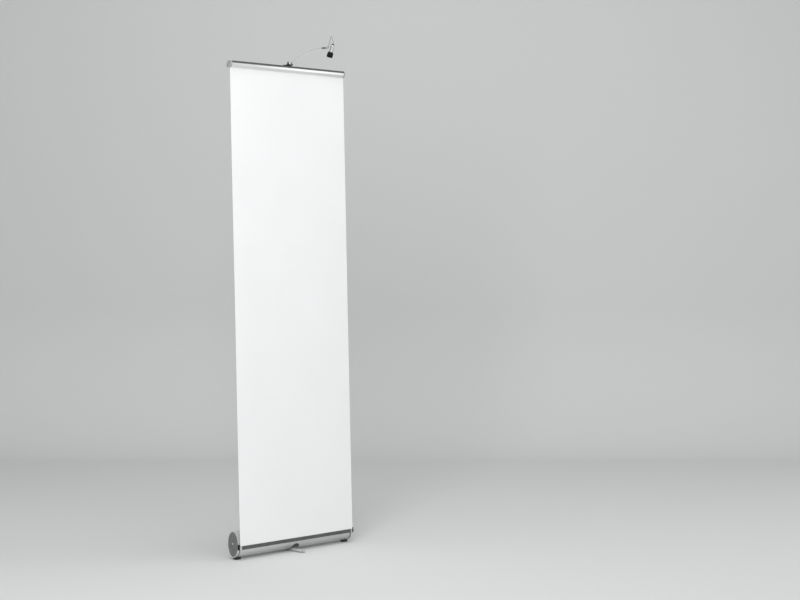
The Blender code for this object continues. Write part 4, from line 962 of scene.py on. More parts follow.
class SubAssembly(Workbench):
    """A group of pieces that belong together."""

    body: str

    def settle(self, piece: bpy.types.Object, finish: Finish, *nodes: str, body: str | None = None,
               angle: float = 32.0) -> bpy.types.Object:
        """Shade a piece, dress it, and fix it to its body.

        Args:
            piece: the finished piece.
            finish: its finish.
            nodes: the CAD nodes that it stands for.
            body: the body that it rides on, where it isn't the group's own.
            angle: the least angle of an edge that stays sharp, in degrees.

        Returns:
            The same piece.
        """
        self.take(piece)
        bpy.ops.object.shade_smooth_by_angle(angle=math.radians(angle))
        self.clear()
        piece.data.materials.clear()
        piece.data.materials.append(finish.material())
        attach(piece, body or self.body)
        if nodes:
            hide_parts(*nodes)
        LOG.info("%s: %d faces, on %s", piece.name, len(piece.data.polygons), body or self.body)
        return piece

    @staticmethod
    def dress_node(finish: Finish, *nodes: str) -> None:
        """Give CAD nodes that stay in sight a finish.

        Args:
            finish: the finish.
            nodes: the nodes' names.
        """
        for name in nodes:
            node = frame["nodes"][name]
            if not node.material_slots:
                node.data.materials.append(finish.material())
            for place in node.material_slots:
                place.material = finish.material()
            LOG.info("%s: dressed in %s", name, finish.name)


@dataclass
class Cassette(SubAssembly):
    """The oval case that the banner rolls into, with its guide strip and the bracket over the foot."""

    body: str = "cassette"
    half_depth: float = 0.0375
    wall: float = 0.0016
    slot_drop: float = 0.0030
    slot_opening: float = 0.0058
    lip_height: float = 0.0162
    window_radius: float = 0.0220
    window_rear: float = 0.0225
    bracket_recess: float = 0.0010
    pivot_bore: float = 0.0033

    def __post_init__(self) -> None:
        """Read the case's place from the frame."""
        case = Span.of("cassette_shell")
        self.half_length = case.high.x
        self.lip_front = case.low.y
        self.centre = (case.high.y - self.half_depth, case.middle.z)
        self.half_height = case.size.z / 2
        self.lip_top = self.centre[1] - self.slot_drop
        self.slot_top = self.lip_top + self.slot_opening
        self.window_centre = (0.0, Span.of("foot_bracket").high.z - self.window_radius + GAP)

    def rise(self, height: float, half_height: float) -> float:
        """Return the angle on an oval, from its front, at a height in the room."""
        return math.asin((height - self.centre[1]) / half_height)

    def section(self) -> list[Pair]:
        """Return the case's section: an oval tube, open at the slot, with a squared lip under it."""
        lip_low = self.lip_top - self.lip_height
        inner_depth = self.half_depth - self.wall
        inner_height = self.half_height - self.wall
        outer = oval(self.centre, self.half_depth, self.half_height, 132,
                     self.rise(self.slot_top, self.half_height), math.tau + self.rise(lip_low, self.half_height))
        inner = oval(self.centre, inner_depth, inner_height, 132,
                     math.tau + self.rise(self.lip_top, inner_height), self.rise(self.slot_top, inner_height))
        lip = [(self.lip_front, lip_low + 0.0006), (self.lip_front + 0.0002, lip_low + 0.0002)][::-1]
        crest = [(self.lip_front, self.lip_top - 0.0008), (self.lip_front + 0.0003, self.lip_top - 0.0002),
                 (self.lip_front + 0.0008, self.lip_top)]
        return outer + [(self.lip_front + 0.0006, lip_low)] + lip + crest + inner

    def window(self, radius: float, low: float) -> list[Pair]:
        """Return the half-round outline over the foot's hub, in the XZ plane.

        Args:
            radius: the outline's radius.
            low: the height that its legs reach down to.

        Returns:
            The outline's points.
        """
        return [(radius, low), *arc(self.window_centre, radius, 0.0, 180.0, 40), (-radius, low)]

    def build(self) -> None:
        """Build the shell, the guide strip and the foot's bracket."""
        self.shell()
        self.strip()
        self.bracket()
        self.dress_node(ROLL_FILM, "banner_leader")
        self.dress_node(STEEL, "roller_axle")
        self.dress_node(SPRING, "torsion_spring")
        self.dress_node(NYLON, "foot_washer")

    def shell(self) -> None:
        """Extrude the shell, cut the window in it and ease the cut edges."""
        shell = self.prism("shell_skin", self.section(), Axis.X, -self.half_length, self.half_length)
        front = self.lip_front - SLACK
        window = self.window(self.window_radius, self.centre[1] - self.half_height - SLACK)
        self.carve(shell, self.prism("window_cutter", window, Axis.Y, front, self.centre[0] + self.window_rear))
        self.soften(shell, 0.0004, 2, 50.0)
        self.settle(shell, SHELL_SILVER, "cassette_shell", angle=25.0)

    def strip(self) -> None:
        """Extrude the dark strip under the slot, with a round top lip and two fine grooves; its dark grey is partly the
        strip's own and partly painted shade of the slot.
        """
        place = Span.of("slot_guide_strip")
        low, high = (place.low.y, place.low.z), (place.high.y, place.high.z)
        outline = rounded(low, high, 0.0006)
        strip = self.prism("guide_strip_long", outline, Axis.X, place.low.x, place.high.x)
        for share in (0.22, 0.78):
            height = place.low.z + place.size.z * share
            groove = [(low[0] - SLACK, height - 0.0006), (low[0] + 0.0003, height), (low[0] - SLACK, height + 0.0006)]
            self.carve(strip, self.prism("groove", groove, Axis.X, place.low.x - SLACK, place.high.x + SLACK))
        # the strip's dark grey is partly painted shade under the slot
        self.settle(strip, DARK_STRIP_AND_SHADE, "slot_guide_strip")

    def bracket(self) -> None:
        """Build the half-round bracket with its three open pockets and the pivot's bore."""
        place = Span.of("foot_bracket")
        low = self.centre[1] - self.half_height - SLACK
        bracket = self.prism("foot_bracket_block", self.window(self.window_radius - GAP, low), Axis.Y,
                             self.lip_front - SLACK, place.high.y)
        trim = oval(self.centre, self.half_depth - self.bracket_recess, self.half_height - self.bracket_recess)
        self.carve(bracket, self.prism("drum_trim", trim, Axis.X, -0.03, 0.03), how="INTERSECT")
        rim = self.window_radius - GAP - 0.0018
        pocket_low = place.low.z + 0.0042
        for left, right in ((-rim, -0.0075), (-0.0060, 0.0060), (0.0075, rim)):
            outline = [(left, pocket_low), (right, pocket_low)]
            tops = [right - (right - left) * step / 12 for step in range(13)]
            centre_z = self.window_centre[1]
            outline += [(across, max(pocket_low + 0.001, centre_z + math.sqrt(max(0.0, rim * rim - across * across))))
                        for across in tops]
            self.carve(bracket, self.prism("pocket", outline, Axis.Y, self.lip_front - SLACK, -0.0100))
        bore = self.rod("bore", self.pivot_bore, low, place.high.z - 0.010, Vector((0.0, 0.0, 0.0)))
        self.carve(bracket, bore)
        self.soften(bracket, 0.0004, 2, 50.0)
        self.settle(bracket, BRACKET_GREY, "foot_bracket")


@dataclass
class CassetteEnd(SubAssembly):
    """One end of the cassette: rim, face, screw, the lip's plug and the shoe under it."""

    case: Cassette
    side: Side
    body: str = "cassette"
    rim: float = 0.0035
    recess: float = 0.0013
    spigot: float = 0.0055
    spigot_wall: float = 0.0020
    plug_depth: float = 0.0100
    shank: float = 0.0022
    hole: float = 0.0017
    hole_drop: float = 0.0135
    dish: float = 0.0004
    border: float = 0.0016
    seat_radius: float = 0.0062
    treads: int = 3
    gasket_width: float = 0.0026
    gasket_thickness: float = 0.0008

    def node(self, stem: str) -> str:
        """Return the name of this end's CAD node."""
        return f"{stem}_{self.side.word}"

    def outward(self, face: Vector) -> bool:
        """Say whether a normal points straight out of the stand's end."""
        return face.x * self.side.value > 0.99

    def plate(self, name: str, inset: float, inner: float, outer: float) -> bpy.types.Object:
        """Extrude an oval plate, smaller than the case by an inset, between two places along X."""
        ends = sorted((self.side.value * inner, self.side.value * outer))
        outline = oval(self.case.centre, self.case.half_depth - inset, self.case.half_height - inset)
        return self.prism(name, outline, Axis.X, *ends)

    def bore(self, name: str, radius: float, inner: float, outer: float, drop: float = 0.0) -> bpy.types.Object:
        """Spin a rod along X between two places, on the axle's line or a drop below it."""
        ends = sorted((self.side.value * inner, self.side.value * outer))
        return self.rod(name, radius, *ends, self.axle - Vector((0.0, 0.0, drop)), Axis.X)

    def block_between(self, name: str, inner: float, outer: float, low: Pair, high: Pair) -> bpy.types.Object:
        """Build a helper block between two places along X, whichever end this is."""
        ends = sorted((self.side.value * inner, self.side.value * outer))
        return self.block(name, (ends[0], low[0], low[1]), (ends[1], high[0], high[1]))

    def build(self) -> None:
        """Build the end's pieces in order."""
        self.place = Span.of(self.node("end_cap"))
        screw = Span.of(self.node("end_screw"))
        self.axle = Vector((0.0, screw.middle.y, screw.middle.z))
        self.start = self.case.half_length + GAP
        self.outer = max(abs(self.place.low.x), abs(self.place.high.x))
        self.build_rim()
        self.build_face()
        self.build_screw(screw)
        self.build_plug()
        self.build_shoe()
        self.build_gasket()

    def notch(self) -> bpy.types.Object:
        """Return the helper that cuts the plug's notch."""
        plug = Span.of(self.node("lip_plug"))
        return self.block_between("notch", self.start - self.spigot - SLACK, self.outer + SLACK,
                                  (self.case.lip_front - SLACK, plug.low.z - GAP),
                                  (plug.high.y + GAP, plug.high.z + GAP))

    def build_rim(self) -> None:
        """Build the silver rim: an oval plate, sunk inside its edge, with a hollow spigot behind."""
        rim = self.plate(self.node("end_rim"), 0.0, self.start, self.outer)
        inset = self.case.wall + GAP
        back = self.start - self.spigot
        self.carve(rim, self.plate("spigot", inset, back, self.start + GAP), how="UNION")
        self.carve(rim, self.plate("hollow", inset + self.spigot_wall, back - SLACK, self.start),
                   self.plate("recess", self.rim, self.outer - self.recess, self.outer + SLACK),
                   self.notch(), self.bore("way", self.shank, self.start - SLACK, self.outer + SLACK))
        self.soften(rim, 0.0006, 3, 50.0)
        self.settle(rim, RIM_SILVER, self.node("end_cap"), angle=28.0)

    def build_face(self) -> None:
        """Build the dark face: a dished oval with a raised seat for the screw and a small hole under it."""
        disc = Span.of(self.node("end_disc"))
        inner, outer = sorted((abs(disc.low.x), abs(disc.high.x)))
        inset = self.rim + GAP
        face = self.plate(self.node("end_face"), inset, inner, outer)
        dish = outer - self.dish
        self.carve(face, self.plate("dish", inset + self.border, dish, outer + SLACK))
        self.carve(face, self.bore("seat", self.seat_radius, dish - GAP, outer), how="UNION")
        self.carve(face, self.bore("way", self.shank, inner - SLACK, outer + SLACK),
                   self.bore("hole", self.hole, inner - SLACK, outer + SLACK, self.hole_drop), self.notch())
        self.soften(face, 0.00025, 2, 50.0)
        self.settle(face, END_GREY, self.node("end_disc"))

    def build_screw(self, screw: Span) -> None:
        """Spin the domed screw and sink its hexagonal socket.

        Args:
            screw: the CAD screw's box.
        """
        sign = self.side.value
        radius = screw.size.z / 2
        tip = max(abs(screw.low.x), abs(screw.high.x))
        seat = tip - 0.0020
        root = min(abs(screw.low.x), abs(screw.high.x))
        shank = self.shank - GAP
        dome = [(radius * math.cos(angle), seat + 0.0008 + 0.0012 * math.sin(angle))
                for angle in (math.radians(step * 15.0) for step in range(6))]
        profile = [(0.0, root), (shank - 0.0004, root), (shank, root + 0.0005), (shank, seat), (radius - 0.0002, seat),
                   (radius, seat + 0.0002), *dome, (0.0, tip)]
        head = self.turned(self.node("end_screw_head"), [(out, sign * along) for out, along in profile],
                           self.axle, Axis.X.vector, Axis.X.across, 40)
        socket = self.rod("socket", 0.0015, *sorted((sign * (tip - 0.0012), sign * (tip + SLACK))),
                          self.axle, Axis.X, steps=6)
        self.carve(head, socket)
        self.settle(head, STEEL, self.node("end_screw"))

    def build_plug(self) -> None:
        """Build the black plug that closes the lip's end, with a shallow panel in its outer face."""
        plug = Span.of(self.node("lip_plug"))
        outline = rounded((plug.low.y, plug.low.z), (plug.high.y, plug.high.z), 0.0012)
        piece = self.prism(self.node("lip_end_plug"), outline, Axis.X, plug.low.x, plug.high.x)
        self.soften(piece, 0.0004, 2, 60.0)
        self.sink(piece, lambda spot, normal: self.outward(normal), 0.0010,
                  Vector((-self.side.value * 0.0005, 0.0, 0.0)))
        self.settle(piece, BLACK, self.node("lip_plug"))

    def build_shoe(self) -> None:
        """Build the black shoe that cradles the case, with treads under it."""
        shoe = Span.of(self.node("foot_shoe"))
        outline = rounded((shoe.low.x, shoe.low.y), (shoe.high.x, shoe.high.y), 0.0022)
        piece = self.prism(self.node("cradle_shoe"), outline, Axis.Z, shoe.low.z, shoe.high.z)
        pitch = shoe.size.x / (self.treads + 1)
        for tread in range(1, self.treads + 1):
            middle = shoe.low.x + pitch * tread
            groove = [(middle - 0.0010, -SLACK), (middle - 0.0006, 0.0009), (middle + 0.0006, 0.0009),
                      (middle + 0.0010, -SLACK)]
            self.carve(piece, self.prism("tread", groove, Axis.Y, shoe.low.y + 0.003, shoe.high.y - 0.003))
        cradle = oval(self.case.centre, self.case.half_depth + GAP, self.case.half_height + GAP)
        self.carve(piece, self.prism("cradle", cradle, Axis.X, shoe.low.x - SLACK, shoe.high.x + SLACK))
        self.soften(piece, 0.0006, 2, 45.0)
        self.settle(piece, RUBBER, self.node("foot_shoe"))


    def build_gasket(self) -> None:
        """Build the thin black gasket that runs up the case's front from the shoe to the lip."""
        case, shoe = self.case, Span.of(self.node("foot_shoe"))
        low, high = (math.tau + case.rise(height, case.half_height)
                     for height in (shoe.high.z + GAP, case.lip_top - case.lip_height - GAP))
        skins = [oval(case.centre, case.half_depth + proud, case.half_height + proud, 24, low, high)
                 for proud in (GAP, GAP + self.gasket_thickness)]
        outer = max(abs(shoe.low.x), abs(shoe.high.x)) - GAP
        ends = sorted((self.side.value * outer, self.side.value * (outer - self.gasket_width)))
        gasket = self.prism(self.node("end_gasket"), skins[0] + skins[1][::-1], Axis.X, *ends)
        self.soften(gasket, 0.0002, 2, 50.0)
        self.settle(gasket, RUBBER)


@dataclass
class Roller(SubAssembly):
    """The spring roller inside the case: tube, wraps and bushes."""

    body: str = "roller"

    def build(self) -> None:
        """Dress the roller's CAD nodes, whose shapes are plain turned ones."""
        self.dress_node(SHELL_SILVER, "roller_tube")
        self.dress_node(ROLL_FILM, "banner_roll")
        self.dress_node(BLACK, "roller_bush_left", "roller_bush_right")


@dataclass
class SwivelFoot(SubAssembly):
    """The tapering foot that swings out under the case."""

    body: str = "foot"
    hub_radius: float = 0.0185
    tip_radius: float = 0.0118
    plug_way: float = 0.0043
    pivot_way: float = 0.0033
    pivot_floor: float = 0.0025

    def build(self) -> None:
        """Build the bar and its two rubber plugs."""
        place = Span.of("swivel_foot")
        front = (0.0, place.low.y + self.tip_radius)
        rear = (0.0, place.high.y - self.tip_radius)
        outline = (arc(front, self.tip_radius, 184.0, 356.0, 36) + arc((0.0, 0.0), self.hub_radius, -14.0, 14.0, 10)
                   + arc(rear, self.tip_radius, 4.0, 176.0, 36) + arc((0.0, 0.0), self.hub_radius, 166.0, 194.0, 10))
        bar = self.prism("foot_bar", outline, Axis.Z, place.low.z, place.high.z)
        self.soften(bar, 0.0014, 3, 60.0)
        self.sink(bar, lambda spot, normal: normal.z > 0.999 and spot.z > place.high.z - 0.00005, 0.0018,
                  Vector((0.0, 0.0, -0.0005)))
        ways = [self.rod("pivot_way", self.pivot_way, self.pivot_floor, place.high.z + SLACK, Vector((0.0, 0.0, 0.0)))]
        for tip in (front, rear):
            ways.append(self.rod("plug_way", self.plug_way, -SLACK, place.high.z + SLACK, Vector((*tip, 0.0))))
        self.carve(bar, *ways)
        self.settle(bar, FOOT_PAINT, "swivel_foot", angle=28.0)
        for name in ("front", "rear"):
            self.build_plug(name)
        self.dress_node(STEEL, "foot_pivot_screw")

    def build_plug(self, name: str) -> None:
        """Spin one rubber plug with a soft domed top and a ring groove under it.

        Args:
            name: front or rear.
        """
        plug = Span.of(f"foot_plug_{name}")
        radius = plug.size.x / 2
        top, low = plug.high.z, plug.low.z
        profile = [(0.0, low + 0.0004), (radius * 0.45, low + 0.0004), (radius * 0.5, low), (radius - 0.0004, low),
                   (radius, low + 0.0004), (radius, top - 0.0010), (radius * 0.93, top - 0.0004),
                   (radius * 0.6, top - 0.0001), (0.0, top)]
        centre = Vector((plug.middle.x, plug.middle.y, 0.0))
        piece = self.turned(f"foot_pad_{name}", profile, centre, Axis.Z.vector, Axis.Z.across, 40)
        self.settle(piece, RUBBER, f"foot_plug_{name}")


@dataclass
class Pole(SubAssembly):
    """The three tubes of the pole and the socket that it stands in."""

    case: Cassette
    body: str = "cassette"
    wall: float = 0.0011
    socket_floor: float = 0.0050

    def build(self) -> None:
        """Build the socket and the tubes."""
        self.build_socket()
        for name, body in (("lower", "cassette"), ("middle", "middle_pole"), ("upper", "rail")):
            node = f"pole_{name}_tube"
            place = Span.of(node)
            radius = place.size.x / 2
            centre = Vector((place.middle.x, place.middle.y, 0.0))
            tube = self.ring(f"pole_tube_{name}", radius - self.wall, radius, place.low.z, place.high.z, centre,
                             lip=0.0003, steps=72)
            self.settle(tube, TUBE_SILVER, node, body=body)

    def build_socket(self) -> None:
        """Build the socket: a round-cornered block fitted to the case, with ribs down its back."""
        place = Span.of("pole_socket")
        tube = Span.of("pole_lower_tube")
        front = self.case.centre[0]
        outline = rounded((place.low.x, front), (place.high.x, place.high.y), 0.0045, 6)
        socket = self.prism("socket_block", outline, Axis.Z, place.low.z, place.high.z)
        pole = Vector((0.0, tube.middle.y, 0.0))
        cutters = []
        for spot in (-0.0105, -0.0035, 0.0035, 0.0105):
            groove = [(spot - 0.0011, place.high.y + SLACK), (spot - 0.0006, place.high.y - 0.0010),
                      (spot + 0.0006, place.high.y - 0.0010), (spot + 0.0011, place.high.y + SLACK)]
            cutters.append(self.prism("rib", groove, Axis.Z, place.low.z + 0.006, place.high.z - 0.006))
        cutters.append(self.prism("case_way", oval(self.case.centre, self.case.half_depth + GAP,
                                                   self.case.half_height + GAP), Axis.X, -0.03, 0.03))
        bore = tube.size.x / 2 + GAP
        cutters.append(self.turned("bore", [(0.0, place.low.z + self.socket_floor), (bore, place.low.z + self.socket_floor),
                                            (bore, place.high.z - 0.0010), (bore + 0.0010, place.high.z + GAP),
                                            (bore + 0.0010, place.high.z + SLACK), (0.0, place.high.z + SLACK)],
                                   pole, Axis.Z.vector, Axis.Z.across, 64))
        self.carve(socket, *cutters)
        self.soften(socket, 0.0007, 2, 50.0)
        self.settle(socket, BLACK, "pole_socket")


@dataclass
class TwistCollar(SubAssembly):
    """A ribbed collar that grips one pole tube on the next."""

    node: str
    body: str
    outer_tube: str
    inner_tube: str
    ribs: int = 24
    taper: float = 0.0030
    neck: float = 0.018

    def build(self) -> None:
        """Spin the collar, press its grip grooves in, and round its ends."""
        place = Span.of(self.node)
        radius = place.size.x / 2
        wide = Span.of(self.outer_tube).size.x / 2 + GAP
        slim = Span.of(self.inner_tube).size.x / 2 + GAP
        step = Span.of(self.outer_tube).high.z + GAP
        low, high = place.low.z, place.high.z
        shoulder = high - self.neck * 0.4
        profile = [(wide, low), (radius - 0.0006, low), (radius - 0.0001, low + 0.0004), (radius, low + 0.0012),
                   (radius, low + 0.0040), (radius, shoulder - 0.0030), (radius, shoulder),
                   (radius - 0.0003, shoulder + 0.0012), (radius - self.taper + 0.0006, high - 0.0012),
                   (radius - self.taper, high - 0.0004), (radius - self.taper - 0.0006, high), (slim, high),
                   (slim, step), (wide, step), (wide, low)]
        centre = Vector((place.middle.x, place.middle.y, 0.0))
        collar = self.turned(self.node.replace("pole_collar", "twist_collar"), profile, centre, Axis.Z.vector,
                             Axis.Z.across, self.ribs * 4)
        self.edit(collar)
        turn = math.tau / self.ribs

        def in_groove(spot: Vector, normal: Vector) -> bool:
            """Say whether a face lies in one of the grip's grooves."""
            angle = math.atan2(spot.y - centre.y, spot.x - centre.x) % turn
            upright = low + 0.0040 < spot.z < shoulder - 0.0030
            return upright and abs(normal.z) < 0.1 and (spot.xy - centre.xy).length > radius - 0.0005 \
                and angle < turn / 2

        if self.pick(collar, in_groove):
            bpy.ops.mesh.inset(thickness=0.0002, depth=-0.0006, use_even_offset=True)
        self.close(collar)
        self.settle(collar, BLACK, self.node)


def joint_place(name: str) -> Vector:
    """Return the point that a joint turns about."""
    return Vector(next(joint["pos_m"] for joint in frame["joints"] if joint["name"] == name))


@dataclass
class Rail(SubAssembly):
    """The clamp rail across the banner's top: back, front jaw, strip, end caps and the pole's hook."""

    body: str = "rail"
    wall: float = 0.0022
    depth: float = 0.0155
    channel_depth: float = 0.0050
    channel_low: float = 0.0020
    channel_high: float = 0.0165
    channel_mouth: float = 0.0060
    channel_wall: float = 0.0016
    knee: float = 0.0076
    bead: float = 0.0017
    overhang: float = 0.0070
    film: float = 0.0005
    trim_length: float = 0.0040
    trim: float = 0.0005

    def __post_init__(self) -> None:
        """Read the rail's place from the frame."""
        place = Span.of("rail_body")
        self.half_length = place.high.x
        self.low, self.top = place.low.z, place.high.z
        self.height = place.size.z
        self.front = Span.of("banner").high.y - self.film
        self.hinge = joint_place("jaw_open")

    def shifted(self, outline: Sequence[Pair]) -> list[Pair]:
        """Return an outline moved from the banner's top edge to its place in the room."""
        return [(self.front + across, self.low + up) for across, up in outline]

    @property
    def flange_front(self) -> float:
        """Return where the top flange starts, just behind the jaw's bead."""
        return self.hinge.y - self.front + self.bead + GAP

    def build(self) -> None:
        """Build the rail's pieces in order."""
        self.build_back()
        jaw = self.jaw_outline()
        self.build_jaw(jaw)
        for side in Side:
            self.build_cap(side, jaw)
            self.build_jaw_trim(side, jaw)
        self.build_hook()

    def build_back(self) -> None:
        """Extrude the back of the rail with its channel for the hook, and score two lines along it."""
        far = self.depth + self.channel_depth
        mouth_low = (self.channel_low + self.channel_high - self.channel_mouth) / 2
        mouth_high = mouth_low + self.channel_mouth
        lip = self.film + GAP
        inner = self.depth - self.wall
        under = self.height - self.wall
        wall = self.channel_wall
        outline = [(lip, 0.0), (far, 0.0), (far, mouth_low), (far - wall, mouth_low), (far - wall, self.channel_low),
                   (self.depth, self.channel_low), (self.depth, self.channel_high - wall),
                   (far - wall, self.channel_high - wall), (far - wall, mouth_high), (far, mouth_high),
                   (far, self.channel_high), (self.depth, self.channel_high), (self.depth, self.height),
                   (self.flange_front, self.height), (self.flange_front, under), (inner, under), (inner, self.wall),
                   (lip, self.wall)]
        rounded_outline = filleted(self.shifted(outline), 0.0004, 2)
        back = self.prism("rail_extrusion", rounded_outline, Axis.X, -self.half_length, self.half_length)
        for share in (0.35, 0.65):
            across = self.front + self.flange_front + (self.depth - self.flange_front) * share
            groove = [(across - 0.0004, self.top + SLACK), (across, self.top - 0.0003),
                      (across + 0.0004, self.top + SLACK)]
            self.carve(back, self.prism("groove", groove, Axis.X, -self.half_length - SLACK, self.half_length + SLACK))
        self.settle(back, RAIL_SILVER, "rail_body")

    def jaw_outline(self) -> list[Pair]:
        """Return the jaw's section in the room: a bowed front plate with a lip below and a bead above."""
        low = self.low + GAP
        high = self.top - GAP
        grip = self.front - GAP
        foot = grip - self.wall
        head = foot - self.overhang
        knee = low + self.knee
        bead = [(self.hinge.y + across, self.hinge.z + up)
                for across, up in arc((0.0, 0.0), self.bead, 120.0, -120.0, 16)]
        outer = [(foot, low), (head, knee), (head, high)]
        inner = [(head + self.wall, bead[-1][1] - self.bead), (head + self.wall, knee + self.wall),
                 (grip - 0.0010, low + self.wall), (grip, low + self.wall), (grip, low)]
        softened = filleted(outer + [(head + self.wall, high)], 0.0045, 6, only=(1,))
        return softened + bead + inner

    def build_jaw(self, outline: Sequence[Pair]) -> None:
        """Extrude the jaw and the dark strip along its top; the strip's dark grey is partly its own and partly painted
        shade of the rail's top edge.

        Args:
            outline: the jaw's section.
        """
        jaw = self.prism("rail_front_jaw", outline, Axis.X, -self.half_length, self.half_length)
        self.soften(jaw, 0.0003, 2, 60.0)
        self.settle(jaw, RAIL_SILVER, "rail_jaw", body="jaw", angle=25.0)
        place = Span.of("rail_jaw_strip")
        half = self.half_length - self.trim_length - GAP
        strip = self.prism("rail_edge_strip", rounded((place.low.y, place.low.z), (place.high.y, place.high.z), 0.0003),
                           Axis.X, -half, half)
        groove_z = place.middle.z
        groove = [(place.low.y - SLACK, groove_z - 0.0005), (place.low.y + 0.0003, groove_z),
                  (place.low.y - SLACK, groove_z + 0.0005)]
        self.carve(strip, self.prism("groove", groove, Axis.X, -half - SLACK, half + SLACK))
        # the strip's dark grey is partly painted shade along the rail's top
        self.settle(strip, DARK_STRIP_AND_SHADE, "rail_jaw_strip", body="jaw")

    def build_cap(self, side: Side, jaw: Sequence[Pair]) -> None:
        """Build one end cap: a shaped plate, a tongue inside the rail and a short wrap over its back.

        Args:
            side: the end.
            jaw: the jaw's section, which the plate covers.
        """
        sign = side.value
        place = Span.of(f"rail_end_cap_{side.word}")
        far = self.depth + self.channel_depth
        strip_front = Span.of("rail_jaw_strip").low.y - self.front
        foot_front = jaw[0][0] - self.front - 0.0010
        outline = [(foot_front, 0.0), (far, 0.0), (far, self.channel_high), (self.depth, self.channel_high + 0.0020),
                   (self.depth, self.height), (strip_front, self.height), (strip_front, self.knee)]
        cap = self.prism(f"rail_cap_{side.word}", filleted(self.shifted(outline), 0.0014, 4), Axis.X,
                         place.low.x if sign < 0 else self.half_length + GAP,
                         place.high.x if sign > 0 else -self.half_length - GAP)
        outer = max(abs(place.low.x), abs(place.high.x))
        self.soften(cap, 0.0005, 2, 60.0)
        self.sink(cap, lambda spot, normal: normal.x * sign > 0.95 and abs(spot.x) > outer - 0.0002, 0.0018,
                  Vector((-sign * 0.0004, 0.0, 0.0)))
        ends = sorted((sign * (self.half_length + 0.0010), sign * (self.half_length - self.trim_length)))
        back = self.front + self.depth - self.wall - GAP
        tongue = self.block("tongue", (ends[0], back - 0.0050, self.low + self.wall + GAP),
                            (ends[1], back, self.top - self.wall - GAP))
        over = self.trim
        wrap = [(self.flange_front + GAP, self.height + GAP), (self.depth + GAP, self.height + GAP),
                (self.depth + GAP, self.channel_high + GAP), (self.depth + GAP + over, self.channel_high + GAP),
                (self.depth + GAP + over, self.height + GAP + over), (self.flange_front + GAP, self.height + GAP + over)]
        cover = self.prism("wrap", self.shifted(wrap), Axis.X, *ends)
        root = sorted((sign * (self.half_length + GAP), sign * (outer - 0.0006)))
        root_block = self.block("wrap_root", (root[0], self.front + self.flange_front + GAP, self.top - 0.0030),
                                (root[1], self.front + self.depth + GAP + over, self.top + GAP + over))
        self.carve(cap, tongue, cover, root_block, how="UNION")
        self.settle(cap, TRIM_GREY, f"rail_end_cap_{side.word}")

    def build_jaw_trim(self, side: Side, jaw: Sequence[Pair]) -> None:
        """Build the short grey trim that covers the jaw's front at one end.

        Args:
            side: the end.
            jaw: the jaw's section.
        """
        sign = side.value
        strip_front = Span.of("rail_jaw_strip").low.y
        knee_count = 9
        edge = [point for point in jaw[:knee_count]]
        thickness = edge[-1][0] - strip_front
        outer = [(across - thickness, up) for across, up in edge]
        outline = edge + outer[::-1]
        ends = sorted((sign * self.half_length, sign * (self.half_length - self.trim_length)))
        trim = self.prism(f"jaw_end_trim_{side.word}", [(across - 0.0001, up) for across, up in outline], Axis.X, *ends)
        self.soften(trim, 0.0002, 2, 60.0)
        self.settle(trim, TRIM_GREY, body="jaw")

    def build_hook(self) -> None:
        """Build the hook: a cap on the pole, with a head that sits in the rail's channel."""
        place = Span.of("pole_hook")
        tube = Span.of("pole_upper_tube")
        pole = Vector((0.0, tube.middle.y, 0.0))
        bore = tube.size.x / 2 + GAP
        radius = place.high.y - pole.y
        seat = tube.high.z + GAP
        crown = seat + 0.0030
        low = crown - 0.024
        profile = [(0.0, seat), (bore, seat), (bore, low), (radius - 0.0006, low), (radius, low + 0.0006),
                   (radius, crown - 0.0012), (radius - 0.0004, crown - 0.0004), (radius - 0.0012, crown), (0.0, crown)]
        hook = self.turned("hook_block", profile, pole, Axis.Z.vector, Axis.Z.across, 64)
        mouth_low = self.low + (self.channel_low + self.channel_high - self.channel_mouth) / 2
        neck_low, neck_high = mouth_low + GAP, mouth_low + self.channel_mouth - GAP
        half = place.size.x / 2
        front = self.front + self.depth + GAP
        rear = self.front + self.depth + self.channel_depth - self.channel_wall - GAP
        slim = 0.0060
        neck = self.block("neck", (-slim, rear - SLACK, neck_low), (slim, pole.y + SLACK, neck_high))
        riser = self.block("riser", (-slim, pole.y - radius * 0.9, seat + 3 * GAP), (slim, pole.y + SLACK, neck_high))
        head_outline = rounded((-half, self.low + self.channel_low + GAP),
                               (half, self.low + self.channel_high - self.channel_wall - GAP), 0.0015)
        head = self.prism("head", head_outline, Axis.Y, front, rear)
        self.carve(hook, neck, riser, head, how="UNION")
        self.soften(hook, 0.0004, 2, 55.0)
        self.settle(hook, BLACK, "pole_hook")


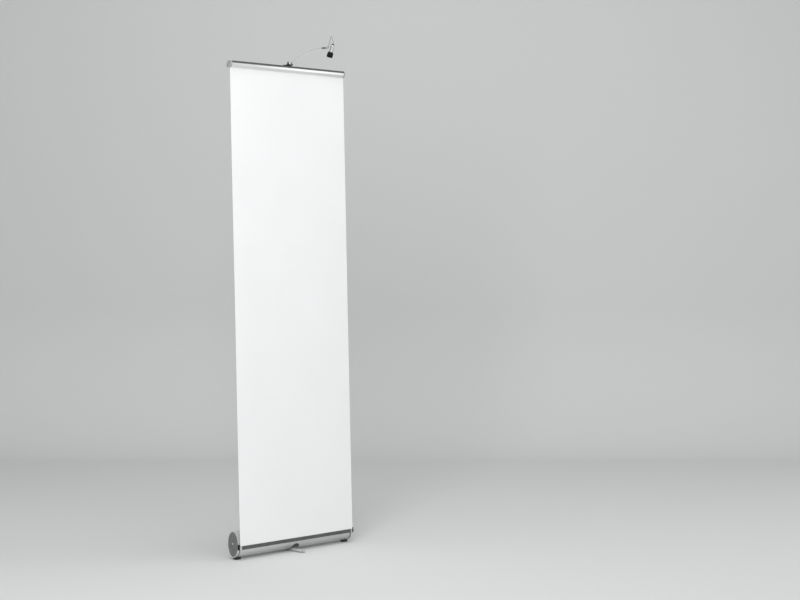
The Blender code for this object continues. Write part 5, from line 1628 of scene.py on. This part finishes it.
@dataclass
class Banner(SubAssembly):
    """The stretched banner between the slot and the rail."""

    body: str = "cassette"
    film: float = 0.0005
    grip: float = 0.012
    ripple: float = 0.0006
    across_steps: int = 72
    up_steps: int = 220

    def build(self) -> None:
        """Shape the sheet, and give it its thickness and its film coordinates."""
        place = Span.of("banner")
        low, high = place.low.z, place.high.z
        rise = high - low - self.grip
        lean = place.size.y - self.film
        half = place.size.x / 2
        self.clear()
        bpy.ops.mesh.primitive_grid_add(x_subdivisions=self.across_steps, y_subdivisions=self.up_steps, size=1.0,
                                        rotation=(math.pi / 2, 0.0, 0.0))
        sheet = bpy.context.object
        sheet.name = sheet.data.name = "banner_sheet"
        bpy.ops.object.transform_apply(location=False, rotation=True, scale=True)
        self.edit(sheet)
        bpy.ops.transform.translate(value=(0.0, 0.0, 0.5))
        bpy.ops.transform.resize(value=(half * 2, 1.0, high - low), center_override=(0.0, 0.0, 0.0))
        bpy.ops.transform.translate(value=(0.0, place.low.y + self.film / 2, low))
        self.clear()
        for vertex in sheet.data.vertices:
            up = min(1.0, (vertex.co.z - low) / rise)
            fade = math.sin(math.pi * up) ** 0.5 if 0.0 < up < 1.0 else 0.0
            edge = abs(vertex.co.x) / half
            curl = 0.0012 * edge ** 8 * fade
            wave = math.sin(vertex.co.x * 17.0 + 0.6) * math.sin(up * 9.0 + 0.4) + 0.5 * math.sin(vertex.co.x * 31.0)
            vertex.co.y += lean * up + curl + self.ripple * wave * fade
        film = sheet.data.uv_layers.new(name="film")
        for loop in sheet.data.loops:
            spot = sheet.data.vertices[loop.vertex_index].co
            film.data[loop.index].uv = (spot.x, spot.z - low)
        thick = sheet.modifiers.new("thickness", "SOLIDIFY")
        thick.thickness = self.film - 0.00004
        thick.offset = 0.0
        self.apply(sheet)
        self.edit(sheet)
        bpy.ops.mesh.normals_make_consistent(inside=False)
        self.clear()
        self.settle(sheet, FILM, "banner", angle=60.0)
        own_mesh(sheet)


@dataclass
class LampClamp(SubAssembly):
    """The clamp over the rail that carries the lamp's arm."""

    rail: Rail
    body: str = "rail"
    ear_spacing: float = 0.0185
    ear_width: float = 0.0070
    ear_top_width: float = 0.0024
    ear_depth: float = 0.0070
    plate: float = 0.0026
    lift: float = 0.0026
    leg: float = 0.0028
    bolt_radius: float = 0.0016
    bolt_head: float = 0.0030
    knob_screw: float = 0.0020
    gland_bore: float = 0.0024
    lobes: int = 6
    dent_reach: float = 0.0078
    dent_radius: float = 0.0016

    def build(self) -> None:
        """Build the clamp, its bolt, its knob and the lead's gland."""
        self.place = Span.of("lamp_clamp")
        self.pivot = joint_place("arm_pitch")
        self.knob = joint_place("knob_turn")
        self.build_clamp()
        self.build_bolt()
        self.build_knob()
        self.build_gland()

    def build_clamp(self) -> None:
        """Extrude the plate and the leg, add the two ears, and bore the ways through them."""
        rail, place = self.rail, self.place
        back = rail.front + rail.depth
        seat = rail.top + GAP
        lift = rail.top + self.lift
        top = lift + self.plate
        shelf = rail.front + rail.flange_front + 0.0010
        nose, rear = place.low.y, place.high.y
        half = place.size.x / 2
        outline = [(nose, lift), (shelf, lift), (shelf, seat), (back + GAP, seat), (back + GAP, place.low.z),
                   (rear, place.low.z), (rear, top), (nose, top)]
        clamp = self.prism("clamp_body", filleted(outline, 0.0012, 4, only=(5, 6, 7, 0)), Axis.X, -half, half)
        ears = []
        for side in Side:
            middle = side.value * self.ear_spacing / 2
            shape = [(middle - self.ear_width / 2, top - SLACK), (middle + self.ear_width / 2, top - SLACK),
                     (middle + self.ear_top_width / 2, place.high.z), (middle - self.ear_top_width / 2, place.high.z)]
            ears.append(self.prism("ear", filleted(shape, 0.0012, 4, only=(2, 3)), Axis.Y, nose,
                                   nose + self.ear_depth))
        self.carve(clamp, *ears, how="UNION")
        self.soften(clamp, 0.0006, 2, 50.0)
        reach = self.ear_spacing / 2 + self.ear_width
        knob_way = self.rod("knob_way", self.knob_screw + GAP, back - SLACK, rear + SLACK,
                            Vector((0.0, 0.0, self.knob.z)), Axis.Y)
        gland_x = Span.of("cable_gland").middle.x
        gland_way = self.rod("gland_way", self.gland_bore, back - SLACK, rear + SLACK,
                             Vector((gland_x, 0.0, self.knob.z)), Axis.Y)
        bolt_way = self.rod("bolt_way", self.bolt_radius + GAP, -reach, reach, self.pivot, Axis.X)
        self.carve(clamp, knob_way, gland_way, bolt_way)
        self.settle(clamp, BLACK, "lamp_clamp")

    def build_bolt(self) -> None:
        """Spin the arm's bolt, with a domed and slotted head at one end."""
        place = Span.of("arm_bolt")
        tip, end = place.high.x, place.low.x
        seat = tip - 0.0014
        half = [(self.bolt_head - 0.0002, seat), (self.bolt_head, seat + 0.0003), (self.bolt_head * 0.9, seat + 0.0009),
                (self.bolt_head * 0.6, seat + 0.00125)]
        profile = [(0.0, end), (self.bolt_radius - 0.0003, end), (self.bolt_radius, end + 0.0003),
                   (self.bolt_radius, seat), *half, (0.0, tip)]
        bolt = self.turned("pivot_bolt", profile, self.pivot, Axis.X.vector, Axis.X.across, 40)
        slot = self.block("slot", (tip - 0.0006, self.pivot.y - 0.004, self.pivot.z - 0.0004),
                          (tip + SLACK, self.pivot.y + 0.004, self.pivot.z + 0.0004))
        self.carve(bolt, slot)
        self.settle(bolt, STEEL, "arm_bolt")

    def build_knob(self) -> None:
        """Spin the thumb knob and press its lobes in."""
        place = Span.of("clamp_knob")
        radius = place.size.x / 2
        low, high = place.low.y - self.knob.y, place.high.y - self.knob.y
        screw = self.knob_screw
        profile = [(0.0, low), (screw - 0.0004, low), (screw, low + 0.0004), (screw, GAP), (radius - 0.0005, GAP),
                   (radius, GAP + 0.0005), (radius, high - 0.0022), (radius - 0.0006, high - 0.0009),
                   (radius - 0.0018, high - 0.0002), (radius - 0.0024, high), (radius * 0.45, high),
                   (radius * 0.40, high - 0.0006), (0.0, high - 0.0008)]
        knob = self.turned("thumb_knob", profile, self.knob, Axis.Y.vector, Axis.Y.across, 72)
        dents = []
        for lobe in range(self.lobes):
            angle = math.tau * lobe / self.lobes
            middle = self.knob + Vector((math.cos(angle), 0.0, math.sin(angle))) * self.dent_reach
            dents.append(self.rod("dent", self.dent_radius, GAP / 2, high + SLACK, middle, Axis.Y, steps=20))
        self.carve(knob, *dents)
        self.settle(knob, BLACK, "clamp_knob", body="knob")

    def build_gland(self) -> None:
        """Spin the lead's gland with its ribbed, tapering neck."""
        place = Span.of("cable_gland")
        centre = Vector((place.middle.x, self.knob.y, self.knob.z))
        radius = place.size.x / 2
        low, high = place.low.y - centre.y, place.high.y - centre.y
        bore = self.gland_bore - GAP
        neck = []
        for rib in range(4):
            start = high * (0.42 + 0.13 * rib)
            size = radius * (0.92 - 0.09 * rib)
            neck += [(size, start), (size, start + high * 0.07), (size * 0.86, start + high * 0.08),
                     (size * 0.86, start + high * 0.12)]
        profile = [(0.0, low), (bore, low), (bore, GAP), (radius - 0.0003, GAP), (radius, GAP + 0.0003),
                   (radius, high * 0.36), (radius * 0.95, high * 0.40), *neck, (radius * 0.5, high), (radius * 0.3, high),
                   (radius * 0.3, high - 0.0010), (0.0, high - 0.0010)]
        gland = self.turned("cable_boot", profile, centre, Axis.Y.vector, Axis.Y.across, 40)
        self.settle(gland, BLACK, "cable_gland")


@dataclass
class LampArm(SubAssembly):
    """The bowed arm between the clamp and the lamp."""

    body: str = "arm"
    radius: float = 0.0021
    sleeve_radius: float = 0.0034
    route: tuple[Pair, ...] = ((-0.0045, 0.0012), (-0.045, 0.0150), (-0.090, 0.0282), (-0.130, 0.0372),
                               (-0.170, 0.0425), (-0.205, 0.0442), (-0.232, 0.0435))

    def build(self) -> None:
        """Build the barrel, the bowed bar, the sleeve at its end and the eye."""
        pivot = joint_place("arm_pitch")
        knuckle = joint_place("head_tilt")
        barrel = Span.of("arm_barrel")
        eye = Span.of("arm_knuckle")
        piece = self.ring("arm_root_barrel", 0.0019, barrel.size.z / 2, -barrel.size.x / 2, barrel.size.x / 2, pivot,
                          Axis.X, lip=0.0004, steps=48)
        self.settle(piece, ARM_SILVER, "arm_barrel")
        line = flowing([pivot + Vector((0.0, *spot)) for spot in self.route] + [knuckle], 10)
        eye_radius = eye.size.z / 2
        line = [spot for spot in line if (spot - pivot).length > barrel.size.z / 2 - 0.0006
                and (spot - knuckle).length > eye_radius - 0.0004]
        bar = self.bar("arm_bar", line, self.radius, 6)
        self.settle(bar, ARM_SILVER, "lamp_arm", angle=50.0)
        end = Span.of("arm_sleeve").high.y - self.sleeve_radius * 0.1
        cover = [spot for spot in line if (spot - knuckle).length > eye_radius + GAP and spot.y < end]
        sleeve = self.bar("arm_grip_sleeve", cover, self.sleeve_radius, 6)
        self.soften(sleeve, 0.0006, 3, 60.0)
        self.carve(sleeve, self.bar("bore", line, self.radius + 0.00005, 6))
        self.settle(sleeve, SLEEVE_GREY, "arm_sleeve", angle=40.0)
        piece = self.ring("arm_eye", 0.0018, eye_radius, -eye.size.x / 2, eye.size.x / 2, knuckle, Axis.X,
                          lip=0.0004, steps=48)
        self.settle(piece, ARM_SILVER, "arm_knuckle")


@dataclass
class LampHead(SubAssembly):
    """The small chrome lamp: fork, pin, body, cap, shade, lens and looped lead."""

    body: str = "head"
    tilt: float = 25.0
    top: Pair = (-0.0330, 0.0090)
    radius: float = 0.0086
    length: float = 0.0295
    spigot: float = 0.0036
    band_drop: float = 0.0100
    band_height: float = 0.0050
    band_wall: float = 0.0014
    fork_inner: float = 0.0041
    fork_outer: float = 0.0063
    fork_height: float = 0.0084
    fork_back: float = 0.0030
    eye_radius: float = 0.0052
    pin_radius: float = 0.0015
    shade_radius: float = 0.0124
    shade_neck: float = 0.0062
    shade_length: float = 0.0225
    shade_wall: float = 0.0009
    shade_top: float = 0.0012
    cap_radius: float = 0.0050
    cap_height: float = 0.0048
    lens_inset: float = 0.0022
    lens_thickness: float = 0.0014
    lead_radius: float = 0.0009
    lead_apex: Pair = (-0.0200, 0.0440)
    lead_bend: float = 0.0035

    def build(self) -> None:
        """Build the lamp on its own leaning axis."""
        self.knuckle = joint_place("head_tilt")
        self.crown = self.knuckle + Vector((0.0, *self.top))
        lean = math.radians(self.tilt)
        self.up = Vector((0.0, -math.sin(lean), math.cos(lean)))
        self.build_fork()
        self.build_pin()
        self.build_tube()
        self.build_cap()
        self.build_shade()
        self.build_lens()
        self.build_lead()
        self.dress_node(END_GREY, "led_module")

    def on_axis(self, name: str, profile: Sequence[Pair], steps: int = 64, drop: float = 0.0) -> bpy.types.Object:
        """Spin a profile about the lamp's axis.

        Args:
            name: the piece's name.
            profile: (radius, height) points, with height 0 at the body's top.
            steps: the steps in a whole turn.
            drop: how far below the body's top height 0 is instead.

        Returns:
            The closed piece.
        """
        return self.turned(name, profile, self.crown - self.up * drop, self.up, Axis.X.vector, steps)

    def build_fork(self) -> None:
        """Join the band round the lamp to the two cheeks that hold the arm's eye."""
        inner, outer = self.radius + GAP, self.radius + self.band_wall
        half = self.band_height / 2
        band = self.on_axis("lamp_fork", [(0.0, -half), (outer, -half), (outer, half), (0.0, half)],
                            drop=self.band_drop)
        band_place = self.crown - self.up * self.band_drop
        parts = []
        high = self.fork_height / 2
        pin = self.knuckle
        for side in Side:
            ends = sorted((side.value * self.fork_inner, side.value * self.fork_outer))
            outline = [(pin.y + across, pin.z + up) for across, up in
                       arc((0.0, 0.0), self.eye_radius, -90.0, 90.0, 24)
                       + [(-self.eye_radius - self.fork_back, high), (-self.eye_radius - self.fork_back, -high)]]
            parts.append(self.prism("cheek", outline, Axis.X, *ends))
        reach = band_place.y + outer
        parts.append(self.block("link", (-self.fork_outer, reach - self.band_wall / 2, pin.z - high),
                                (self.fork_outer, pin.y - self.eye_radius - GAP * 2, pin.z + high)))
        self.carve(band, *parts, how="UNION")
        way = self.on_axis("way", [(0.0, -self.length), (inner, -self.length), (inner, self.length),
                                   (0.0, self.length)], drop=self.band_drop)
        pin_way = self.rod("pin_way", self.pin_radius + GAP, -self.fork_outer - SLACK, self.fork_outer + SLACK, pin,
                           Axis.X)
        self.carve(band, way, pin_way)
        self.soften(band, 0.0003, 2, 55.0)
        self.settle(band, CHROME, "lamp_yoke")

    def build_pin(self) -> None:
        """Spin the knuckle's pin with its two domed heads."""
        place = Span.of("knuckle_pin")
        tip = place.high.x
        seat = tip - 0.0010
        head = 0.0026
        half = [(head - 0.0002, seat), (head, seat + 0.0003), (head * 0.8, seat + 0.0008)]
        profile = [(0.0, -tip), *[(out, -along) for out, along in reversed(half)], (self.pin_radius, -seat),
                   (self.pin_radius, seat), *half, (0.0, tip)]
        pin = self.turned("fork_pin", profile, self.knuckle, Axis.X.vector, Axis.X.across, 36)
        self.settle(pin, STEEL, "knuckle_pin")

    def build_tube(self) -> None:
        """Spin the chrome body, with a rolled top edge and two fine rings near its foot."""
        end = -self.length
        root = end - self.shade_top - 2 * GAP
        radius = self.radius
        rings: list[Pair] = []
        for height in (end + 0.0040, end + 0.0062):
            rings += [(radius, height - 0.0004), (radius - 0.0004, height - 0.0001), (radius - 0.0004, height + 0.0001),
                      (radius, height + 0.0004)]
        edge = [(radius - 0.0016 + 0.0016 * math.cos(angle), -0.0016 + 0.0016 * math.sin(angle))
                for angle in (math.radians(step * 15.0) for step in range(7))]
        profile = [(0.0, root), (self.spigot, root), (self.spigot, end), (radius - 0.0004, end), (radius, end + 0.0004),
                   *rings, *edge, (0.0, 0.0)]
        self.settle(self.on_axis("lamp_tube", profile), CHROME, "lamp_body")

    def build_cap(self) -> None:
        """Spin the small black cap that the lead enters."""
        radius, height = self.cap_radius, self.cap_height
        slim = self.lead_radius * 2
        profile = [(0.0, GAP), (radius - 0.0003, GAP), (radius, GAP + 0.0003), (radius, height * 0.42),
                   (radius - 0.0003, height * 0.52), (radius * 0.72, height * 0.66), (slim * 1.25, height * 0.86),
                   (slim, height - 0.0002), (slim - 0.0002, height), (0.0, height)]
        self.settle(self.on_axis("lamp_end_cap", profile, 48), BLACK, "lamp_cap")

    def build_shade(self) -> None:
        """Spin the domed shade with a small rolled lip at its mouth."""
        high = -self.length - GAP
        low = high - self.shade_length
        outer: list[Pair] = []
        inner: list[Pair] = []
        steps = 14
        spread = self.shade_radius - self.shade_neck
        for step in range(steps + 1):
            angle = math.pi / 2 * step / steps
            depth, reach = 1.0 - math.cos(angle), math.sin(angle)
            outer.append((self.shade_neck + spread * reach, high - self.shade_length * 0.6 * depth))
            inner.append((self.shade_neck + spread * reach - self.shade_wall,
                          high - self.shade_top - (self.shade_length * 0.6 - self.shade_top) * depth))
        bore = self.spigot + GAP
        lip = [(self.shade_radius, low + 0.0003), (self.shade_radius - 0.0003, low),
               (self.shade_radius - self.shade_wall + 0.0003, low), (self.shade_radius - self.shade_wall, low + 0.0003)]
        profile = [(bore, high), *outer, *lip, *reversed(inner), (bore, high - self.shade_top), (bore, high)]
        self.settle(self.on_axis("lamp_cup_shade", profile, 72), SHADE_PAINT, "lamp_shade")

    def build_lens(self) -> None:
        """Spin the milky diffuser, slightly bellied towards the mouth."""
        low = -self.length - GAP - self.shade_length + self.lens_inset
        radius = self.shade_radius - self.shade_wall - GAP
        belly = [(radius * share, low + 0.0005 * share * share) for share in (0.0, 0.25, 0.5, 0.75, 0.95)]
        profile = [*belly, (radius, low + 0.0006), (radius, low + self.lens_thickness), (0.0, low + self.lens_thickness)]
        self.settle(self.on_axis("lamp_lens_disc", profile, 56), LENS, "lamp_lens")

    def build_lead(self) -> None:
        """Run the thin grey lead in its high loop from the fork to the cap."""
        top = self.crown + self.up * (self.cap_height - 0.0004)
        rise = self.up * self.lead_radius * 5
        side = (self.fork_inner + self.fork_outer) / 2
        foot = self.knuckle + Vector((side, 0.0, self.eye_radius - 0.0002))
        apex = self.knuckle + Vector((side / 2, *self.lead_apex))
        bend = self.lead_bend
        route = [foot, foot + Vector((0.0, 0.0, self.lead_radius * 5)), foot.lerp(apex, 0.6) + Vector((0.0, 0.002, 0.0)),
                 apex + Vector((0.0, bend, -bend)), apex, apex + Vector((0.0, -bend, -bend)),
                 top.lerp(apex, 0.5) + Vector((0.0, -0.002, 0.0)), top + rise, top]
        self.settle(self.bar("lead_loop", flowing(route, 8), self.lead_radius, 4), LEAD_GREY, "lamp_lead", angle=50.0)


@dataclass
class Studio(Workbench):
    """The camera, the lights and the pale floor that rises into a backdrop."""

    camera_place: Point = (-3.96157, -5.10387, 1.28559)
    camera_turn: Point = (88.03153, 0.0, -41.85105)
    lens: float = 68.684
    floor_tone: Colour = (0.625, 0.63, 0.625)
    wall_tone: Colour = (0.55, 0.555, 0.55)
    wall_distance: float = 2.7
    cove_radius: float = 0.9
    wall_height: float = 9.0

    def build(self) -> None:
        """Set the stage, the lights and the camera."""
        self.build_backdrop()
        self.build_lights()
        self.build_camera()

    def stage_material(self, name: str, tone: Colour, see_through: bool) -> bpy.types.Material:
        """Return a pale, faintly mottled surface.

        Args:
            name: the material's name.
            tone: its colour.
            see_through: let its back face be seen through.

        Returns:
            The material.
        """
        material = bpy.data.materials.new(name)
        material.use_nodes = True
        desk = NodeDesk(material.node_tree)
        shader = material.node_tree.nodes["Principled BSDF"]
        where = desk.add("TexCoord").outputs["Object"]
        slow = desk.spread(desk.noise(where, 0.6, 3.0), 0.3, 0.7)
        darker = tuple(part * 0.985 for part in tone)
        desk.feed(shader, "Base Color", desk.blend(slow, tone, darker))
        shader.inputs["Roughness"].default_value = 0.9
        shader.inputs["Specular IOR Level"].default_value = 0.15
        if see_through:
            output = material.node_tree.nodes["Material Output"]
            clear = desk.add("BsdfTransparent").outputs[0]
            back = desk.add("NewGeometry").outputs["Backfacing"]
            mixed = desk.add("MixShader", {0: back, 1: shader.outputs[0], 2: clear})
            desk.feed(output, "Surface", mixed.outputs[0])
        return material

    def build_backdrop(self) -> None:
        """Build the floor with its curved rise into a wall, and the wider floor under it."""
        turn = math.radians(self.camera_turn[2])
        away = Vector((-math.sin(turn), math.cos(turn), 0.0))
        across = Vector((math.cos(turn), math.sin(turn), 0.0))
        profile = [(-14.0, 0.0)] + [(self.wall_distance + out, self.cove_radius + up) for out, up in
                                    arc((0.0, 0.0), self.cove_radius, -90.0, 0.0, 24)]
        profile.append((self.wall_distance + self.cove_radius, self.wall_height))
        width = 34.0
        sweep = self.chain("stage_cove", [away * out + Vector((0.0, 0.0, up)) - across * width / 2
                                          for out, up in profile])
        bpy.ops.mesh.extrude_region_move(TRANSFORM_OT_translate={"value": across * width})
        self.clear()
        if sweep.data.polygons[0].normal.z < 0.0:
            self.edit(sweep)
            bpy.ops.mesh.flip_normals()
            self.clear()
        self.take(sweep)
        bpy.ops.object.shade_smooth()
        sweep.data.materials.append(self.stage_material("stage_paper", self.floor_tone, True))
        self.clear()
        bpy.ops.mesh.primitive_circle_add(vertices=96, radius=22.0, fill_type="NGON", location=(0.0, 0.0, 0.0))
        ground = bpy.context.object
        ground.name = ground.data.name = "stage_ground"
        self.edit(ground)
        bpy.ops.transform.translate(value=(0.0, 0.0, -0.004))
        self.clear()
        ground.data.materials.append(self.stage_material("stage_ground_paper", self.floor_tone, False))

    def build_lights(self) -> None:
        """Hang three large soft lamps and set the room's even light."""
        world = bpy.data.worlds.new("studio_air")
        world.use_nodes = True
        sky = world.node_tree.nodes["Background"]
        sky.inputs[0].default_value = (0.98, 0.99, 1.0, 1.0)
        sky.inputs[1].default_value = 0.42
        bpy.context.scene.world = world
        bpy.context.scene.view_settings.view_transform = "Standard"
        for name, place, size, power in (("key", (-3.8, -3.4, 2.7), 2.4, 158.0),
                                         ("fill", (3.6, -3.4, 2.2), 3.0, 50.0),
                                         ("top", (-0.6, -1.0, 5.2), 3.4, 108.0)):
            data = bpy.data.lights.new(f"{name}_softbox", "AREA")
            data.shape = "SQUARE"
            data.size = size
            data.energy = power
            lamp = bpy.data.objects.new(data.name, data)
            bpy.context.scene.collection.objects.link(lamp)
            lamp.location = place
            lamp.visible_camera = False
            aim = Vector((0.0, 0.0, 1.0)) - lamp.location
            lamp.rotation_euler = aim.to_track_quat("-Z", "Y").to_euler()

    def build_camera(self) -> None:
        """Place the camera."""
        data = bpy.data.cameras.new("studio_camera")
        data.lens = self.lens
        data.sensor_width = 36.0
        camera = bpy.data.objects.new("studio_camera", data)
        bpy.context.scene.collection.objects.link(camera)
        camera.location = self.camera_place
        camera.rotation_euler = [math.radians(angle) for angle in self.camera_turn]
        bpy.context.scene.camera = camera


def main() -> None:
    """Build the stand from the floor up, then the room round it."""
    logging.basicConfig(level=logging.INFO, format="%(name)s %(message)s")
    Studio().build()
    case = Cassette()
    case.build()
    for side in Side:
        CassetteEnd(case, side).build()
    Roller().build()
    SwivelFoot().build()
    Pole(case).build()
    TwistCollar("pole_collar_lower", "lower_collar", "pole_lower_tube", "pole_middle_tube").build()
    TwistCollar("pole_collar_upper", "upper_collar", "pole_middle_tube", "pole_upper_tube").build()
    rail = Rail()
    rail.build()
    Banner().build()
    LampClamp(rail).build()
    LampArm().build()
    LampHead().build()


if __name__ == "__main__":
    main()
